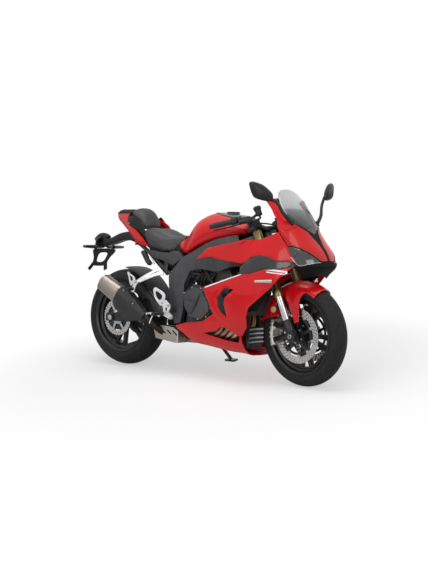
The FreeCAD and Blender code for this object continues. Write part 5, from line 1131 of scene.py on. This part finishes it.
def dress_covers():
    """Ribs, edge bead and screws of the clutch cover, and the hoses and fins above it."""
    middle = COVER_OUTLINE.mean(0)
    low_rib = bar([(640, COVER_FACE + 16, 480), (690, COVER_FACE, 470), (742, COVER_FACE - 3, 452),
                   (700, COVER_FACE, 380)], 24, (16, 9, 2.5, 14), 1, LEFT)
    high_rib = bar([(742, COVER_FACE - 3, 452), (768, COVER_FACE, 500), (790, COVER_FACE + 12, 528)], 18,
                   (16, 9, 2.5, 14), 1, LEFT)
    rim = middle + (outlined(rounded(COVER_OUTLINE), 80) - middle) * 0.985
    bead = carried(np.insert(np.concatenate([rim, rim[:1]]), 1, -172, axis=1), oval(7, 7, 2, 10), 1, LEFT,
                   capped=False)
    holes = outlined(middle + (COVER_OUTLINE - middle) * 0.93, 9)
    piece("clutch_cover_ribs", joined(low_rib, high_rib, bead), "cover_metal")
    piece("clutch_cover_screws", joined(*[screw(x, -170, z, 6, 6) for x, z in holes]), "steel")
    hose = bar([(646, -70, 700), (700, -96, 690), (760, -112, 640), (800, -118, 590), (830, -120, 560)], 30,
               (22, 22, 2, 14), 1, None)
    leads = [tube([(690 + k * 26, -96, 560 + k * 4), (704 + k * 26, -118, 596), (724 + k * 26, -104, 628)],
                  8, 16) for k in range(5)]
    piece("engine_hoses", joined(hose, *leads), "grip")
    fins = [bar([(800, -100, z), (930, -100, z + 26)], 6, (6, 8, 4, 8)) for z in range(540, 640, 14)]
    piece("cylinder_fins", joined(*fins), "engine_grey")


def dress_headers():
    """Header bends behind the window of the belly pan, one behind another."""
    bends = [tube([(1080 - 46 * k, -160, 352), (1066 - 46 * k, -162, 306), (1020 - 46 * k, -152, 262),
                   (946 - 46 * k, -112, 226), (900 - 46 * k, -70, 212)], 17, 30, 16) for k in range(4)]
    piece("header_bends", both(joined(*bends)), "header_steel")


RAIL_COVER = [(288, -104, 736), (360, -104, 676), (440, -104, 612)]
SUMP_SIDE = [(440, 338), (520, 342), (562, 404), (640, 404), (640, 312), (560, 298), (440, 288)]
TAIL_SKIRT = [(165, 978), (201, 944), (236, 906), (258, 866), (262, 826), (300, 790), (300, 762), (216, 815),
              (126, 862), (96, 918), (140, 960)]
SEAT_SKIRT = [(232, 850), (292, 786), (380, 752), (474, 744), (560, 762), (568, 800), (520, 790), (430, 776),
              (310, 806)]
SUBFRAME_COVER = [(286, 742), (258, 776), (262, 806), (310, 792), (420, 782), (530, 776), (609, 716),
                  (616, 669), (565, 641), (434, 623), (322, 702)]


def dress_skirts():
    """Dark inner skirts beside the seats, the subframe's cover, and the red rims along their tops."""
    piece("rail_covers", both(bar(RAIL_COVER, 12, (26, 14, 4, 16), 1, LEFT)), "moulded_dark")
    piece("sump_side", plate(SUMP_SIDE, -100, -96), "vent_black")
    piece("tail_skirts", both(plate(TAIL_SKIRT, -120, -116)), "moulded_dark")
    rim = bar([(156, -110, 946), (196, -110, 920), (226, -110, 884), (238, -110, 850)], 24, (10, 26, 4, 16),
              np.linspace(0.9, 0.6, 24))
    far_rim = bar([(156, 110, 946), (200, 110, 931), (236, 110, 912), (266, 110, 876), (300, 110, 846),
                   (334, 110, 828)], 30, (10, 26, 4, 16), np.linspace(0.9, 0.6, 30))
    piece("tail_rims", joined(rim, far_rim), "red")
    skirts = joined(plate(SEAT_SKIRT, -100, -95), plate(SUBFRAME_COVER, -94, -90))
    piece("seat_skirts", both(skirts), "moulded_dark")


def dress_folded_pegs():
    """Pillion pegs folded up against the rails, and their links."""
    peg = bar([(266, -152, 748), (284, -154, 732), (312, -156, 694), (334, -154, 668)], 24, (26, 38, 3.2, 20),
              1 - 0.25 * np.abs(np.linspace(-1, 1, 24)) ** 6, LEFT)
    link = bar([(326, -150, 708), (340, -150, 694), (360, -148, 672)], 14, (10, 13, 3, 14), 1, LEFT)
    piece("folded_pegs", both(peg), "grip")
    piece("folded_peg_links", both(link), "aluminium")


def dress_fins():
    """Bright fins of the oil cooler, one above another."""
    fins = [bar([(1062, -64, z), (1064, 0, z + 2), (1062, 70, z)], 12, (8, 9, 4, 10))
            for z in np.linspace(228, 304, 4)]
    piece("cooler_fins", joined(*fins), "aluminium")


CALIPER_REACH, CALIPER_SPAN = 158, (128, 178)
CALIPER_HALVES = ((-47, 15), (-86, 24))


def about_hub(angle, radius, y=0.0):
    """Point at an angle in degrees and a radius about the axle: (radius cos, y, radius sin)."""
    return np.array([radius * math.cos(math.radians(angle)), y, radius * math.sin(math.radians(angle))])


def crossing(angle, radius, places, section):
    """Short bar beside the disc, square to it, through some places along the axle."""
    return carried(about_hub(angle, radius) + np.outer(places, LEFT), oval(*section))


def dress_caliper():
    """Radial brake caliper over each front disc: ribbed halves, piston caps, bridges, bolts, and the hose."""
    arc = np.radians(np.linspace(*CALIPER_SPAN, 26))
    width = np.interp(np.linspace(0, 1, 26), [0, 0.08, 0.5, 0.92, 1], [0.75, 1, 1.06, 1, 0.75])
    parts = []
    for y, deep in CALIPER_HALVES:
        path = np.stack([CALIPER_REACH * np.cos(arc), np.full(26, y), CALIPER_REACH * np.sin(arc)], -1)
        parts.append(carried(path, oval(deep, 46, 4.5, 28), np.stack([np.ones(26), width], -1), LEFT))
    parts += [screw(*about_hub(angle, 150, -97), 15, 7) for angle in (140, 166)]
    parts += [crossing(angle, 178, [-94, -60, -38], (18, 12, 3, 16)) for angle in (130, 153, 176)]
    parts += [crossing(angle, 182, [-96, -64, -40], (5, 8, 3, 10)) for angle in np.linspace(136, 170, 5)]
    bodies = both(joined(*parts))
    bolts = [screw(*about_hub(angle, 172, -99), 6, 7) for angle in (133, 173)]
    hose = tube([(-112, -92, 140), (-128, -112, 190), (-60, -124, 240), (-16, -122, 300), (20, -88, 400),
                 (60, -60, 470)], 4, 44, 10)
    piece("front_caliper_bodies", bodies, "caliper", "steering", ["front_calipers"], FRONT_WHEEL)
    piece("front_caliper_bolts", both(joined(*bolts)), "steel", "steering", place=FRONT_WHEEL)
    piece("front_brake_hoses", both(hose), "grip", "steering", place=FRONT_WHEEL)


REFLECTOR = (1280, -128, 441)


def dress_fork():
    """Round reflector in its rim, on a stay from the right fork leg."""
    disc, rim = (turned(button(*size, 32), UP, 180) for size in ((19, 7), (22, 4)))
    piece("fork_reflectors", moved(disc, REFLECTOR), "amber", "steering")
    piece("reflector_rims", moved(rim, REFLECTOR), "black_metal", "steering")
    piece("reflector_stays", tube([(1282, -126, 446), (1296, -112, 462)], 7, 6), "black_metal", "steering")


def dress_mudguard():
    """Screws that hold the front mudguard to the fork."""
    heads = joined(screw(1360, -84, 457, 5, 3), screw(1375, -82, 412, 5, 3))
    piece("mudguard_screws", both(heads), "steel", "steering")


dress_mudguard()
dress_footrests()
dress_exhaust()
dress_covers()
dress_fins()
dress_headers()
dress_skirts()
dress_folded_pegs()
dress_caliper()
dress_fork()


# Studio
FLOOR_HALF = 14.0
SHADOW_FLOOR, WHITE_FLOOR = 0.9, 1.9
PURE_WHITE = (1, 1, 1, 1)
SURROUND_LIGHT = 0.3
SOFTBOXES = (("overhead", (0.2, -0.5, 3.4), (0, 0, 0.3), 3.6, 2.2, 74),
             ("right_side", (0.8, -3.6, 1.9), (0, 0, 0.5), 2.6, 1.6, 40),
             ("front", (3.8, -0.6, 1.6), (0.2, 0, 0.6), 1.6, 1.8, 26))


def add_floor():
    """Pale floor that keeps the bike's shadow near it and fades to plain white further out."""
    mesh = bpy.data.meshes.new("floor")
    corners = [(x * FLOOR_HALF, y * FLOOR_HALF, 0) for x, y in ((-1, -1), (1, -1), (1, 1), (-1, 1))]
    mesh.from_pydata(corners, [], [(0, 1, 2, 3)])
    floor = bpy.data.objects.new("floor", mesh)
    bpy.context.scene.collection.objects.link(floor)
    finish = Finish("floor")
    reach = finish.node("VectorMath", {"operation": "LENGTH"}, {0: finish.place()}, "Value")
    pale = finish.mix(finish.grain(40, 2), (0.9, 0.9, 0.9, 1), (0.93, 0.93, 0.93, 1))
    ground = finish.node("BsdfDiffuse", sockets={"Color": pale})
    white = finish.node("Emission", sockets={"Color": PURE_WHITE, "Strength": 1.0})
    seen = finish.node("LightPath", output="Is Camera Ray")
    share = (reach.step(SHADOW_FLOOR, WHITE_FLOOR) * 0.5 + 0.5) * seen
    mixed = finish.node("MixShader", sockets={0: share, 1: ground, 2: white})
    mesh.materials.append(finish.end("OutputMaterial", mixed))


def add_softbox(name, at, aim, width, height, power):
    """Area lamp that faces a point."""
    lamp = bpy.data.lights.new(name, "AREA")
    lamp.shape, lamp.size, lamp.size_y, lamp.energy = "RECTANGLE", width, height, power
    item = bpy.data.objects.new(name, lamp)
    bpy.context.scene.collection.objects.link(item)
    item.location = at
    item.rotation_euler = (Vector(aim) - Vector(at)).to_track_quat("-Z", "Y").to_euler()


def add_light():
    """White surroundings for the camera, glass and gloss, dimmer for the rest, and three large soft lamps."""
    around = Finish("studio", bpy.data.worlds.new("studio"))
    seen, clear, gloss = (around.node("LightPath", output=f"Is {kind} Ray")
                          for kind in ("Camera", "Transmission", "Glossy"))
    strength = around.node("MapRange", sockets={"Value": seen.largest(clear.largest(gloss)),
                                                "To Min": SURROUND_LIGHT, "To Max": 1.0})
    background = around.node("Background", sockets={"Color": PURE_WHITE, "Strength": strength})
    bpy.context.scene.world = around.end("OutputWorld", background)
    for softbox in SOFTBOXES:
        add_softbox(*softbox)


add_floor()
add_light()
bpy.context.scene.view_settings.view_transform = "Standard"
